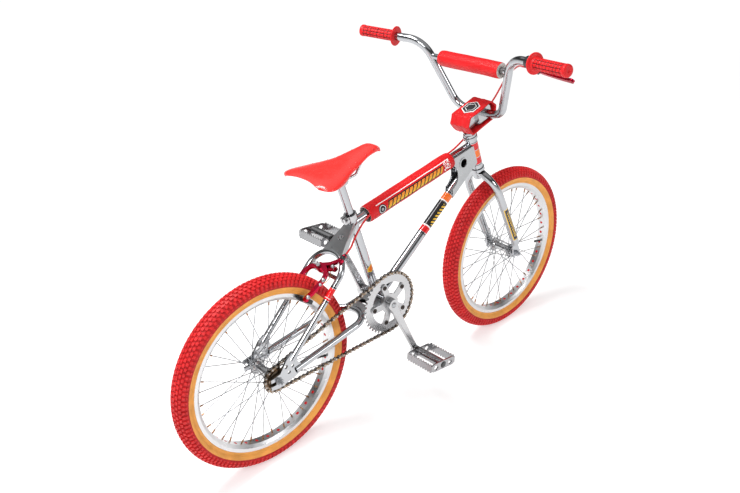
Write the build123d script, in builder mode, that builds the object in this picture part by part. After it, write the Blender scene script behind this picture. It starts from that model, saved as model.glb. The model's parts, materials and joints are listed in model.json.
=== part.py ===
from build123d import *
import os
from math import asin, atan2, cos, degrees, hypot, pi, radians, sin

# A 20 inch BMX bike in millimetres: +X forward, +Y to the rider's left, +Z up.
# The origin is on the ground, midway between the two axles.

os.makedirs("parts", exist_ok=True)

# ---------------------------------------------------------------- driving dimensions
WHEELBASE = 900.0
TYRE_RADIUS = 256.0            # over the tread of a 20 x 2.125 tyre
TYRE_SECTION = 25.0
TYRE_WALL = 3.5
RIM_FLANGE_RADIUS = 209.0
RIM_HALF_WIDTH = 16.6
RIM_INNER_RADIUS = 192.0
AXLE_RADIUS = 4.76             # 3/8 inch axles
FRONT_DROPOUT_GAP = 50.0       # half of the 100 mm front spacing
REAR_DROPOUT_GAP = 55.0        # half of the 110 mm rear spacing
RUNNING_FIT = 0.06             # radial clearance of every turning fit

FRONT_AXLE = Vector(WHEELBASE / 2, 0, TYRE_RADIUS)
REAR_AXLE = Vector(-WHEELBASE / 2, 0, TYRE_RADIUS)
BOTTOM_BRACKET = Vector(-72, 0, 305)
SEAT_TUBE_TOP = Vector(-147.5, 0, 572)
TOP_TUBE_REAR = Vector(-141.7, 0, 549.4)
TOP_TUBE_FRONT = Vector(306, 0, 630.8)
DOWN_TUBE_FRONT = Vector(316.5, 0, 592)
HEAD_POINT = Vector(304.2, 0, 635.3)      # a point on the steering axis
HEAD_ANGLE = 72.85

TUBE_RADIUS = 12.7
TUBE_WALL = 1.3
SEAT_TUBE_RADIUS = 13.0
SEAT_POST_RADIUS = 11.1
HEAD_TUBE_RADIUS = 17.0
SHELL_RADIUS = 20.0
SHELL_HALF = 34.0

RING_TEETH = 42
COG_TEETH = 16
CHAIN_PITCH = 12.7
CHAIN_LINE = -45.0
CRANK_LENGTH = 175.0
CRANK_ANGLE = -69.2            # right arm, from +X towards +Z
PEDAL_TILT = -7.0

BAR_RADIUS = 11.1
BAR_WALL = 2.0
CABLE_RADIUS = 2.5


def lengthwise(vector):
    """The unit vector along a vector."""
    return vector / vector.length


STEER_DOWN = Vector(cos(radians(HEAD_ANGLE)), 0, -sin(radians(HEAD_ANGLE)))
STEER_UP = STEER_DOWN * -1
STEM_FORWARD = Vector(-STEER_DOWN.Z, 0, STEER_DOWN.X)
SEAT_UP = lengthwise(SEAT_TUBE_TOP - BOTTOM_BRACKET)
ACROSS = Vector(0, 1, 0)


def on_steering(down):
    """The point on the steering axis this far below HEAD_POINT."""
    return HEAD_POINT + STEER_DOWN * down


def finish(piece, label):
    """Label a finished sub-part and write it as its own STEP file."""
    piece.part.label = label
    export_step(piece.part, f"parts/{label}.step")


def finish_group(pieces, label):
    """Write several separate solids, such as a bolt and what it holds, as one sub-part."""
    group = Compound(label=label, children=[piece.part for piece in pieces])
    export_step(group, f"parts/{label}.step")


def rod(start, end, radius, bore=0.0, mode=Mode.ADD):
    """A round bar or tube between two points, added to the part being built."""
    run = end - start
    with BuildSketch(Plane(origin=start, z_dir=run)) as section:
        Circle(radius)
        if bore:
            Circle(bore, mode=Mode.SUBTRACT)
    extrude(section.sketch, amount=run.length, mode=mode)


def ring(center, axis, length, radius, bore=0.0, mode=Mode.ADD):
    """A disc or ring that starts at center and runs this length along axis."""
    rod(center, center + lengthwise(axis) * length, radius, bore, mode)


def hexagon(center, axis, length, across_flats, bore):
    """A hexagonal nut or bolt head with a bore."""
    with BuildSketch(Plane(origin=center, z_dir=axis)) as section:
        RegularPolygon(across_flats / 2, 6, major_radius=False)
        if bore:
            Circle(bore, mode=Mode.SUBTRACT)
    extrude(section.sketch, amount=length)


def bent_tube(points, bend_radius, radius, bore=0.0, mode=Mode.ADD):
    """A tube swept along straight runs joined by tangent bends."""
    with BuildLine() as path:
        FilletPolyline(*points, radius=bend_radius)
    start = path.line @ 0
    with BuildSketch(Plane(origin=start, z_dir=path.line % 0)) as section:
        Circle(radius)
        if bore:
            Circle(bore, mode=Mode.SUBTRACT)
    sweep(section.sketch, path=path.line, mode=mode)


def side_plate(outline_points, y_from, y_to, mode=Mode.ADD):
    """A flat plate with this outline in X and Z, between two Y planes."""
    with BuildSketch(Plane(origin=(0, y_from, 0), x_dir=(1, 0, 0), z_dir=(0, -1, 0))) as section:
        with BuildLine():
            Polyline(*outline_points, close=True)
        make_face()
    extrude(section.sketch, amount=y_from - y_to, mode=mode)


def mirrored(point):
    """The same point on the other side of the bike."""
    return Vector(point.X, -point.Y, point.Z)


# ---------------------------------------------------------------- main frame tubes
SHELL_BORE = 17.2
HEAD_TUBE_TOP = -18.0
HEAD_TUBE_BOTTOM = 80.0

with BuildPart() as head_tube:
    rod(on_steering(HEAD_TUBE_TOP), on_steering(HEAD_TUBE_BOTTOM), HEAD_TUBE_RADIUS, 15.0)
finish(head_tube, "head_tube")

with BuildPart() as bottom_bracket_shell:
    rod(BOTTOM_BRACKET - ACROSS * SHELL_HALF, BOTTOM_BRACKET + ACROSS * SHELL_HALF,
        SHELL_RADIUS, SHELL_BORE)
finish(bottom_bracket_shell, "bottom_bracket_shell")

SEAT_SLOT = 24.0
with BuildPart() as seat_tube:
    rod(BOTTOM_BRACKET, SEAT_TUBE_TOP, SEAT_TUBE_RADIUS, SEAT_POST_RADIUS + RUNNING_FIT)
    rod(BOTTOM_BRACKET - ACROSS * SHELL_HALF, BOTTOM_BRACKET + ACROSS * SHELL_HALF,
        SHELL_RADIUS, mode=Mode.SUBTRACT)
    with BuildSketch(Plane(origin=SEAT_TUBE_TOP, x_dir=ACROSS, z_dir=SEAT_UP)) as slot:
        with Locations((0, SEAT_TUBE_RADIUS)):
            Rectangle(2.2, 2 * SEAT_TUBE_RADIUS)
    extrude(slot.sketch, amount=-SEAT_SLOT, mode=Mode.SUBTRACT)
finish(seat_tube, "seat_tube")

with BuildPart() as top_tube:
    rod(TOP_TUBE_REAR, TOP_TUBE_FRONT, TUBE_RADIUS, TUBE_RADIUS - TUBE_WALL)
    rod(BOTTOM_BRACKET, SEAT_TUBE_TOP, SEAT_TUBE_RADIUS, mode=Mode.SUBTRACT)
    rod(on_steering(HEAD_TUBE_TOP), on_steering(HEAD_TUBE_BOTTOM), HEAD_TUBE_RADIUS,
        mode=Mode.SUBTRACT)
finish(top_tube, "top_tube")

with BuildPart() as down_tube:
    rod(BOTTOM_BRACKET, DOWN_TUBE_FRONT, TUBE_RADIUS, TUBE_RADIUS - TUBE_WALL)
    rod(BOTTOM_BRACKET - ACROSS * SHELL_HALF, BOTTOM_BRACKET + ACROSS * SHELL_HALF,
        SHELL_RADIUS, mode=Mode.SUBTRACT)
    rod(BOTTOM_BRACKET, SEAT_TUBE_TOP, SEAT_TUBE_RADIUS, mode=Mode.SUBTRACT)
    rod(on_steering(HEAD_TUBE_TOP), on_steering(HEAD_TUBE_BOTTOM), HEAD_TUBE_RADIUS,
        mode=Mode.SUBTRACT)
finish(down_tube, "down_tube")


def on_tube(rear, front, x, offset):
    """A point beside a tube's axis: at this X, offset up across the tube."""
    along = lengthwise(front - rear)
    point = rear + along * ((x - rear.X) / along.X)
    return (point.X - along.Z * offset, point.Z + along.X * offset)


# Two flat plates close the corner between top tube, down tube and head tube.
GUSSET_THICKNESS = 1.6
GUSSET_Y = TUBE_RADIUS + 0.1
GUSSET_HOLE = (255.0, 595.0)
GUSSET_HOLE_RADIUS = 12.5
GUSSET_HOLE_LIP = 16.5
with BuildPart() as head_gusset:
    for side in (1, -1):
        plane = Plane(origin=(0, side * GUSSET_Y, 0), x_dir=(1, 0, 0), z_dir=(0, -1, 0))
        with BuildSketch(plane) as plate:
            with BuildLine():
                top = Line(on_tube(TOP_TUBE_REAR, TOP_TUBE_FRONT, 217, 4),
                           on_tube(TOP_TUBE_REAR, TOP_TUBE_FRONT, 302, 4))
                front = Line(top @ 1, on_tube(BOTTOM_BRACKET, DOWN_TUBE_FRONT, 316, -7))
                bottom = Line(front @ 1, on_tube(BOTTOM_BRACKET, DOWN_TUBE_FRONT, 205, -7))
                lower_tip = Line(bottom @ 1, on_tube(BOTTOM_BRACKET, DOWN_TUBE_FRONT, 220, 13))
                hollow = ThreePointArc(lower_tip @ 1, (234, 568), (217, 597))
                Line(hollow @ 1, top @ 0)
            make_face()
            with Locations(GUSSET_HOLE):
                Circle(GUSSET_HOLE_RADIUS, mode=Mode.SUBTRACT)
        extrude(plate.sketch, amount=-side * GUSSET_THICKNESS)
        with BuildSketch(plane) as lip:
            with Locations(GUSSET_HOLE):
                Circle(GUSSET_HOLE_LIP)
                Circle(GUSSET_HOLE_RADIUS, mode=Mode.SUBTRACT)
        extrude(lip.sketch, amount=-side * (GUSSET_THICKNESS + 1.2))
    rod(on_steering(HEAD_TUBE_TOP - 20), on_steering(HEAD_TUBE_BOTTOM + 20), HEAD_TUBE_RADIUS,
        mode=Mode.SUBTRACT)
finish(head_gusset, "head_gusset")

# ---------------------------------------------------------------- rear triangle
DROPOUT_THICKNESS = 5.0
CHAIN_STAY_RADIUS = 9.5
CHAIN_STAY_BEND = 50.0
CHAIN_STAY_REAR = Vector(-400, 57, 264)
CHAIN_STAY_FRONT = Vector(-150, 50.5, 299.3)
SEAT_STAY_RADIUS = 8.0
SEAT_STAY_BEND = 56.0
SEAT_STAY_REAR = Vector(-410, 58, 296)
SEAT_STAY_TOP = Vector(-207, 58, 490)
DROPOUT_OUTLINE = [
    (-474, 250.8), (-474, 241), (-452, 237), (-405, 247), (-384, 255), (-380, 273), (-392, 286),
    (-394, 304), (-406, 316), (-424, 304), (-446, 275), (-474, 270), (-474, 261.2),
    (-440, 261.2), (-440, 250.8),
]
DROPOUT_HOLES = [(-428, 287, 5.5), (-420, 268, 4.5), (-408, 281, 4.5)]

with BuildPart() as dropouts:
    for side in (1, -1):
        inner = side * REAR_DROPOUT_GAP
        outer = side * (REAR_DROPOUT_GAP + DROPOUT_THICKNESS)
        side_plate(DROPOUT_OUTLINE, inner, outer)
        for hole_x, hole_z, hole_radius in DROPOUT_HOLES:
            rod(Vector(hole_x, inner - side, hole_z), Vector(hole_x, outer + side, hole_z),
                hole_radius, mode=Mode.SUBTRACT)
finish(dropouts, "dropouts")


def stay_loop(rear, front, bend_radius, radius, bore=0.0, mode=Mode.ADD):
    """A tube from one dropout round the wheel to the other dropout."""
    points = [mirrored(rear), mirrored(front), front, rear]
    bent_tube(points, bend_radius, radius, bore, mode)


# The brake hangs from a short bridge between the seat stays.
BRAKE_PIVOT = Vector(-250, 0, 461)
BRAKE_OUT = lengthwise(Vector(-0.51, 0, 0.86))
BRAKE_DOWN = Vector(-BRAKE_OUT.Z, 0, BRAKE_OUT.X)
BRIDGE_RADIUS = 5.5
BRIDGE_CENTER = BRAKE_PIVOT - BRAKE_OUT * 13.5
BRAKE_BOLT_RADIUS = 3.0

# The right chain stay is flattened a little where the chainring's teeth pass.
DIMPLE_WIDTH = 4.4
DIMPLE_RADIUS = 88.6

with BuildPart() as chain_stay_loop:
    stay_loop(CHAIN_STAY_REAR, CHAIN_STAY_FRONT, CHAIN_STAY_BEND, CHAIN_STAY_RADIUS,
              CHAIN_STAY_RADIUS - TUBE_WALL)
    ring(BOTTOM_BRACKET + ACROSS * (CHAIN_LINE - DIMPLE_WIDTH / 2), ACROSS, DIMPLE_WIDTH, DIMPLE_RADIUS,
         mode=Mode.SUBTRACT)
    add(dropouts.part, mode=Mode.SUBTRACT)
finish(chain_stay_loop, "chain_stay_loop")

with BuildPart() as seat_stay_loop:
    stay_loop(SEAT_STAY_REAR, SEAT_STAY_TOP, SEAT_STAY_BEND, SEAT_STAY_RADIUS,
              SEAT_STAY_RADIUS - TUBE_WALL)
    rod(BRIDGE_CENTER - ACROSS * 52, BRIDGE_CENTER + ACROSS * 52, BRIDGE_RADIUS)
    ring(BRIDGE_CENTER - BRAKE_OUT * 8, BRAKE_OUT, 16, BRAKE_BOLT_RADIUS + 0.05, mode=Mode.SUBTRACT)
    add(dropouts.part, mode=Mode.SUBTRACT)
finish(seat_stay_loop, "seat_stay_loop")

YOKE_WALL = 1.6


def yoke_box(plane, outline_points, height, wall):
    """A closed box folded from plate, with this outline on its middle plane."""
    with BuildSketch(plane.offset(-height / 2)) as outside:
        with BuildLine():
            Polyline(*outline_points, close=True)
        make_face()
    extrude(outside.sketch, amount=height)
    with BuildSketch(plane.offset(-height / 2 + wall)) as inside:
        with BuildLine():
            Polyline(*outline_points, close=True)
        make_face()
        offset(amount=-wall)
    extrude(inside.sketch, amount=height - 2 * wall, mode=Mode.SUBTRACT)


def clear_of_loop(plane, rear, front, bend_radius, tube_radius):
    """Cut the stay and the inside of its bend away from the yoke that meets it."""
    with BuildSketch(plane.offset(-30)) as disc:
        with Locations((-bend_radius, 0)):
            Circle(bend_radius + tube_radius / 2)
    extrude(disc.sketch, amount=60, mode=Mode.SUBTRACT)
    stay_loop(rear, front, bend_radius, tube_radius + 0.02, mode=Mode.SUBTRACT)


CHAIN_STAY_ALONG = lengthwise(Vector(CHAIN_STAY_FRONT.X - CHAIN_STAY_REAR.X, 0,
                                     CHAIN_STAY_FRONT.Z - CHAIN_STAY_REAR.Z))
CHAIN_YOKE_HEIGHT = 15.0
with BuildPart() as chain_stay_yoke:
    chain_plane = Plane(origin=(CHAIN_STAY_FRONT.X, 0, CHAIN_STAY_FRONT.Z), x_dir=CHAIN_STAY_ALONG,
                        z_dir=CHAIN_STAY_ALONG.cross(ACROSS))
    yoke_box(chain_plane, [(-18, -34), (70, -30), (70, 30), (-18, 34)], CHAIN_YOKE_HEIGHT, YOKE_WALL)
    clear_of_loop(chain_plane, CHAIN_STAY_REAR, CHAIN_STAY_FRONT, CHAIN_STAY_BEND, CHAIN_STAY_RADIUS)
    with BuildSketch(chain_plane.offset(-30)) as oval:
        with Locations((31, 0)):
            SlotOverall(34, 15, rotation=90)
    extrude(oval.sketch, amount=60, mode=Mode.SUBTRACT)
    rod(BOTTOM_BRACKET - ACROSS * SHELL_HALF, BOTTOM_BRACKET + ACROSS * SHELL_HALF,
        SHELL_RADIUS, mode=Mode.SUBTRACT)
    rod(BOTTOM_BRACKET, SEAT_TUBE_TOP, SEAT_TUBE_RADIUS, mode=Mode.SUBTRACT)
    with BuildSketch(Plane.YZ.offset(BOTTOM_BRACKET.X - 4)) as ahead:
        with Locations((0, 300)):
            Rectangle(200, 200)
    extrude(ahead.sketch, amount=100, mode=Mode.SUBTRACT)
finish(chain_stay_yoke, "chain_stay_yoke")

SEAT_STAY_ALONG = lengthwise(Vector(SEAT_STAY_TOP.X - SEAT_STAY_REAR.X, 0,
                                    SEAT_STAY_TOP.Z - SEAT_STAY_REAR.Z))
SEAT_YOKE_HEIGHT = 15.0
with BuildPart() as seat_stay_yoke:
    seat_plane = Plane(origin=(SEAT_STAY_TOP.X, 0, SEAT_STAY_TOP.Z), x_dir=SEAT_STAY_ALONG,
                       z_dir=SEAT_STAY_ALONG.cross(ACROSS))
    yoke_box(seat_plane, [(-16, -38), (89, -11.5), (89, 11.5), (-16, 38)], SEAT_YOKE_HEIGHT,
             YOKE_WALL)
    clear_of_loop(seat_plane, SEAT_STAY_REAR, SEAT_STAY_TOP, SEAT_STAY_BEND, SEAT_STAY_RADIUS)
    with BuildSketch(seat_plane.offset(-30)) as round_hole:
        with Locations((42, 0)):
            Circle(9.5)
    extrude(round_hole.sketch, amount=60, mode=Mode.SUBTRACT)
    rod(BOTTOM_BRACKET, SEAT_TUBE_TOP, SEAT_TUBE_RADIUS, mode=Mode.SUBTRACT)
finish(seat_stay_yoke, "seat_stay_yoke")

# ---------------------------------------------------------------- headset and bearings
CUP_RADIUS = 20.0
CUP_LENGTH = 8.0
STEERER_RADIUS = 12.7
with BuildPart() as headset_cups:
    ring(on_steering(HEAD_TUBE_TOP), STEER_UP, CUP_LENGTH, CUP_RADIUS, STEERER_RADIUS + RUNNING_FIT)
    ring(on_steering(HEAD_TUBE_BOTTOM), STEER_DOWN, CUP_LENGTH, CUP_RADIUS,
         STEERER_RADIUS + RUNNING_FIT)
    ring(on_steering(HEAD_TUBE_TOP + 12), STEER_UP, 12, 14.95, STEERER_RADIUS + RUNNING_FIT)
    ring(on_steering(HEAD_TUBE_BOTTOM - 12), STEER_DOWN, 12, 14.95, STEERER_RADIUS + RUNNING_FIT)
finish(headset_cups, "headset_cups")

CRANK_AXLE_RADIUS = 8.0
with BuildPart() as bottom_bracket_bearings:
    for side in (1, -1):
        outward = ACROSS * side
        inner_face = BOTTOM_BRACKET + outward * (SHELL_HALF - 14)
        ring(inner_face, outward, 14, SHELL_BORE - 0.05, CRANK_AXLE_RADIUS + RUNNING_FIT)
        ring(BOTTOM_BRACKET + outward * SHELL_HALF, outward, 3.5, SHELL_RADIUS,
             CRANK_AXLE_RADIUS + RUNNING_FIT)
finish(bottom_bracket_bearings, "bottom_bracket_bearings")

# ---------------------------------------------------------------- seat clamp
CLAMP_RADIUS = 17.0
CLAMP_HEIGHT = 15.0
CLAMP_DROP = 8.5               # how far the collar reaches below the top of the seat tube
CLAMP_LUG = 19.5
CLAMP_BOLT_RADIUS = 2.5
clamp_base = SEAT_TUBE_TOP - SEAT_UP * CLAMP_DROP
clamp_plane = Plane(origin=clamp_base, x_dir=ACROSS, z_dir=SEAT_UP)
CLAMP_BEHIND = lengthwise(ACROSS.cross(SEAT_UP)) * -1
clamp_bolt_center = clamp_base + SEAT_UP * (CLAMP_HEIGHT / 2) + CLAMP_BEHIND * CLAMP_LUG
with BuildPart() as seat_clamp:
    ring(clamp_base, SEAT_UP, CLAMP_HEIGHT, CLAMP_RADIUS, SEAT_TUBE_RADIUS)
    with BuildSketch(clamp_plane) as lugs:
        with Locations((0, 20)):
            Rectangle(19, 13)
        Circle(CLAMP_RADIUS - 1, mode=Mode.SUBTRACT)
    extrude(lugs.sketch, amount=CLAMP_HEIGHT)
    with BuildSketch(clamp_plane) as gap:
        with Locations((0, 20)):
            Rectangle(3, 20)
    extrude(gap.sketch, amount=CLAMP_HEIGHT, mode=Mode.SUBTRACT)
    rod(clamp_bolt_center - ACROSS * 20, clamp_bolt_center + ACROSS * 20, CLAMP_BOLT_RADIUS + 0.1,
        mode=Mode.SUBTRACT)
with BuildPart() as seat_clamp_bolt:
    rod(clamp_bolt_center - ACROSS * 9.6, clamp_bolt_center + ACROSS * 9.6, CLAMP_BOLT_RADIUS)
    ring(clamp_bolt_center - ACROSS * 9.6, ACROSS * -1, 4.5, 4.6)
    hexagon(clamp_bolt_center + ACROSS * 9.6, ACROSS, 4.5, 9, 0)
finish_group([seat_clamp, seat_clamp_bolt], "seat_clamp")

# ---------------------------------------------------------------- top tube pad
PAD_REAR_X = -98.0
PAD_FRONT_X = 211.5
PAD_RADIUS = 23.0
PAD_BORE = 19.4
TOP_ALONG = lengthwise(TOP_TUBE_FRONT - TOP_TUBE_REAR)
pad_rear = TOP_TUBE_REAR + TOP_ALONG * ((PAD_REAR_X - TOP_TUBE_REAR.X) / TOP_ALONG.X)
pad_front = TOP_TUBE_REAR + TOP_ALONG * ((PAD_FRONT_X - TOP_TUBE_REAR.X) / TOP_ALONG.X)
with BuildPart() as top_tube_pad:
    rod(pad_rear, pad_front, PAD_RADIUS, PAD_BORE)
finish(top_tube_pad, "top_tube_pad")

# ---------------------------------------------------------------- fork
CROWN = 92.0
STEERER_TOP = -38.5
STEERER_BORE = 11.15
LEG_RADIUS = 11.8
LEG_WALL = 1.6
LEG_BEND = 95.0
LEG_START = Vector(327, 6, 549)
LEG_SHOULDER = Vector(345, 56, 510)
LEG_END = Vector(438, 58, 297)
FORK_TAB_THICKNESS = 5.0
FORK_TAB_OUTLINE = [
    (455.2, 240), (464, 246), (464, 262), (455, 285), (449, 306), (426, 306), (432, 285), (436, 262),
    (436, 246), (444.8, 240), (444.8, 261.2), (455.2, 261.2),
]
with BuildPart() as fork:
    for side in (1, -1):
        start, shoulder, end = LEG_START, LEG_SHOULDER, LEG_END
        if side < 0:
            start, shoulder, end = mirrored(start), mirrored(shoulder), mirrored(end)
        bent_tube([start, shoulder, end], LEG_BEND, LEG_RADIUS)
    rod(on_steering(CROWN), on_steering(CROWN + 20), 16.5)
    for side in (1, -1):
        start, shoulder, end = LEG_START, LEG_SHOULDER, LEG_END
        if side < 0:
            start, shoulder, end = mirrored(start), mirrored(shoulder), mirrored(end)
        bent_tube([start, shoulder, end], LEG_BEND, LEG_RADIUS - LEG_WALL, mode=Mode.SUBTRACT)
        side_plate(FORK_TAB_OUTLINE, side * FRONT_DROPOUT_GAP,
                   side * (FRONT_DROPOUT_GAP + FORK_TAB_THICKNESS))
        ring(end, end - shoulder, 2.5, LEG_RADIUS)
    ring(on_steering(CROWN), STEER_UP, 40, 60, mode=Mode.SUBTRACT)
    rod(on_steering(CROWN + 18), on_steering(STEERER_TOP), STEERER_RADIUS)
    rod(on_steering(CROWN + 30), on_steering(STEERER_TOP), STEERER_BORE, mode=Mode.SUBTRACT)
finish(fork, "fork")

with BuildPart() as headset_nuts:
    ring(on_steering(CROWN - 0.3), STEER_UP, 3.4, 18.5, STEERER_RADIUS)
    ring(on_steering(HEAD_TUBE_TOP - CUP_LENGTH - 0.3), STEER_UP, 7, 18.0, STEERER_RADIUS)
    hexagon(on_steering(HEAD_TUBE_TOP - CUP_LENGTH - 8), STEER_UP, 6.5, 32, STEERER_RADIUS)
finish(headset_nuts, "headset_nuts")

# ---------------------------------------------------------------- stem
STEM_AT = -72.9
STEM_REACH = 53.7
STEM_HALF_HEIGHT = 17.5
STEM_HALF_WIDTH = 25.0
STEM_FRONT = 19.0
NECK_HALF_WIDTH = 16.0
STEM_SPLIT = 0.6
STEM_BOLT_RADIUS = 2.5
STEM_BOLT_HEIGHT = 14.2
STEM_BOLT_Y = 20.4
QUILL_BOTTOM = 24.0
stem_center = on_steering(STEM_AT)
bar_center = stem_center + STEM_FORWARD * STEM_REACH
stem_plane = Plane(origin=stem_center, x_dir=STEM_FORWARD, z_dir=ACROSS * -1)
stem_bolt_spots = [(height, side) for height in (STEM_BOLT_HEIGHT, -STEM_BOLT_HEIGHT)
                   for side in (STEM_BOLT_Y, -STEM_BOLT_Y)]

with BuildPart() as stem:
    with BuildSketch(stem_plane.offset(-STEM_HALF_WIDTH)) as block:
        with BuildLine():
            Polyline((22, -STEM_HALF_HEIGHT), (STEM_REACH - STEM_SPLIT, -STEM_HALF_HEIGHT),
                     (STEM_REACH - STEM_SPLIT, STEM_HALF_HEIGHT), (22, STEM_HALF_HEIGHT), close=True)
        make_face()
    extrude(block.sketch, amount=2 * STEM_HALF_WIDTH)
    with BuildSketch(stem_plane.offset(-NECK_HALF_WIDTH)) as neck:
        with BuildLine():
            rear = ThreePointArc((0, STEM_HALF_HEIGHT - 1), (-STEM_HALF_HEIGHT + 1, 0),
                                 (0, -STEM_HALF_HEIGHT + 1))
            Polyline(rear @ 1, (22, -STEM_HALF_HEIGHT + 1), (22, STEM_HALF_HEIGHT - 1), rear @ 0)
        make_face()
    extrude(neck.sketch, amount=2 * NECK_HALF_WIDTH)
    rod(on_steering(STEM_AT + 10), on_steering(QUILL_BOTTOM), SEAT_POST_RADIUS)
    rod(bar_center - ACROSS * 40, bar_center + ACROSS * 40, BAR_RADIUS + 0.02, mode=Mode.SUBTRACT)
    for height, side in stem_bolt_spots:
        start = stem_center + STEER_UP * height + ACROSS * side + STEM_FORWARD * 10
        rod(start, start + STEM_FORWARD * 80, STEM_BOLT_RADIUS + 0.05, mode=Mode.SUBTRACT)
    rod(on_steering(STEM_AT - 30), on_steering(QUILL_BOTTOM - 4), 4.2, mode=Mode.SUBTRACT)
finish(stem, "stem")

with BuildPart() as stem_clamp:
    with BuildSketch(stem_plane.offset(-STEM_HALF_WIDTH)) as cap:
        with BuildLine():
            Polyline((STEM_REACH + STEM_SPLIT, -STEM_HALF_HEIGHT),
                     (STEM_REACH + STEM_FRONT - 4, -STEM_HALF_HEIGHT),
                     (STEM_REACH + STEM_FRONT, -STEM_HALF_HEIGHT + 5),
                     (STEM_REACH + STEM_FRONT, STEM_HALF_HEIGHT - 5),
                     (STEM_REACH + STEM_FRONT - 4, STEM_HALF_HEIGHT),
                     (STEM_REACH + STEM_SPLIT, STEM_HALF_HEIGHT), close=True)
        make_face()
    extrude(cap.sketch, amount=2 * STEM_HALF_WIDTH)
    rod(bar_center - ACROSS * 40, bar_center + ACROSS * 40, BAR_RADIUS + 0.02, mode=Mode.SUBTRACT)
    for height, side in stem_bolt_spots:
        start = stem_center + STEER_UP * height + ACROSS * side + STEM_FORWARD * 10
        rod(start, start + STEM_FORWARD * 80, STEM_BOLT_RADIUS + 0.05, mode=Mode.SUBTRACT)
finish(stem_clamp, "stem_clamp")

with BuildPart() as stem_bolts:
    for height, side in stem_bolt_spots:
        head = stem_center + STEER_UP * height + ACROSS * side
        face = head + STEM_FORWARD * 21.9
        ring(face, STEM_FORWARD * -1, 4, 4.2, 1.8)
        ring(face, STEM_FORWARD, STEM_REACH + STEM_FRONT - 24, STEM_BOLT_RADIUS)
        ring(face, STEM_FORWARD * -1, 1.5, 4.2)
    expander_seat = on_steering(STEM_AT - STEM_HALF_HEIGHT + 0.95)
    ring(expander_seat, STEER_UP, 4, 7, 2.5)
    ring(expander_seat, STEER_UP, 1.5, 7)
    ring(expander_seat, STEER_DOWN, 70, 4.1)
finish(stem_bolts, "stem_bolts")

# ---------------------------------------------------------------- handlebar
BAR_END = Vector(232.4, 352, 913.4)
BAR_UPPER = Vector(275, 152, 903)
BAR_LOWER = Vector(bar_center.X, 78, bar_center.Z)
BAR_BENDS = [75.0, 48.0, 48.0, 75.0]
CROSSBAR_Z = 862.0
CROSSBAR_RADIUS = 8.0
bar_points = [mirrored(BAR_END), mirrored(BAR_UPPER), mirrored(BAR_LOWER),
              BAR_LOWER, BAR_UPPER, BAR_END]
upright = lengthwise(BAR_LOWER - BAR_UPPER)
crossbar_end = BAR_UPPER + upright * ((CROSSBAR_Z - BAR_UPPER.Z) / upright.Z)
with BuildPart() as handlebar:
    bent_tube(bar_points, BAR_BENDS, BAR_RADIUS)
    rod(mirrored(crossbar_end), crossbar_end, CROSSBAR_RADIUS)
    bent_tube(bar_points, BAR_BENDS, BAR_RADIUS - BAR_WALL, mode=Mode.SUBTRACT)
    rod(mirrored(crossbar_end), crossbar_end, CROSSBAR_RADIUS - 1.5, mode=Mode.SUBTRACT)
finish(handlebar, "handlebar")

CROSSBAR_PAD_HALF = 103.5
CROSSBAR_PAD_SHIFT = -8.5       # the pad sits a little to the right
CROSSBAR_PAD_RADIUS = 21.0
crossbar_center = Vector(crossbar_end.X, 0, crossbar_end.Z)
with BuildPart() as crossbar_pad:
    pad_center = crossbar_center + ACROSS * CROSSBAR_PAD_SHIFT
    rod(pad_center - ACROSS * CROSSBAR_PAD_HALF, pad_center + ACROSS * CROSSBAR_PAD_HALF,
        CROSSBAR_PAD_RADIUS, CROSSBAR_RADIUS + 0.3)
finish(crossbar_pad, "crossbar_pad")

STEM_PAD_THICKNESS = 5.0
STEM_PAD_HALF = 33.0
STEM_PAD_OUTLINE = [(-32, 4), (-17, 27), (76, 27), (91, 6), (78, -28), (-20, -26)]
with BuildPart() as stem_pad:
    with BuildSketch(stem_plane.offset(-STEM_PAD_HALF)) as wrap:
        with BuildLine():
            Polyline(*STEM_PAD_OUTLINE, close=True)
        make_face()
        offset(amount=-STEM_PAD_THICKNESS, kind=Kind.INTERSECTION, mode=Mode.SUBTRACT)
    extrude(wrap.sketch, amount=2 * STEM_PAD_HALF)
    rod(on_steering(STEM_AT), on_steering(STEM_AT + 60), 14.5, mode=Mode.SUBTRACT)
finish(stem_pad, "stem_pad")

# ---------------------------------------------------------------- grips and brake lever
GRIP_RADIUS = 15.5
GRIP_FLANGE_RADIUS = 27.0
GRIP_FLANGE_Y = 238.0
GRIP_CAP = 3.5
bar_outward = lengthwise(BAR_END - BAR_UPPER)
with BuildPart() as grips:
    for side in (1, -1):
        inner = BAR_UPPER + bar_outward * ((GRIP_FLANGE_Y - BAR_UPPER.Y) / bar_outward.Y)
        outer = BAR_END
        if side < 0:
            inner, outer = mirrored(inner), mirrored(outer)
        run = outer - inner
        rod(inner, outer, GRIP_RADIUS, BAR_RADIUS + 0.02)
        ring(inner, run, 4, GRIP_FLANGE_RADIUS, BAR_RADIUS + 0.02)
        ring(outer + lengthwise(run) * 0.1, run, GRIP_CAP, GRIP_RADIUS)
        ring(outer - lengthwise(run) * 2, run, 2.5, GRIP_RADIUS, BAR_RADIUS + 0.02)
finish(grips, "grips")

PERCH_Y = -222.0
PERCH_WIDTH = 13.0
PERCH_RADIUS = 15.5
LEVER_OFFSET = 34.0
LEVER_LENGTH = 118.0
bar_right = mirrored(bar_outward)
perch_center = mirrored(BAR_UPPER) + bar_right * ((PERCH_Y + BAR_UPPER.Y) / bar_right.Y)
LEVER_DROP = Vector(0.72, 0, -0.69)
lever_away = lengthwise(LEVER_DROP - bar_right * LEVER_DROP.dot(bar_right))
lever_axis = lengthwise(bar_right.cross(lever_away))
lever_pivot = perch_center - bar_right * 2 + lever_away * LEVER_OFFSET
LEVER_PIN_RADIUS = 2.5
LEVER_HALF = 3.5
lever_plane = Plane(origin=lever_pivot, x_dir=bar_right, z_dir=lever_axis)

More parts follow.
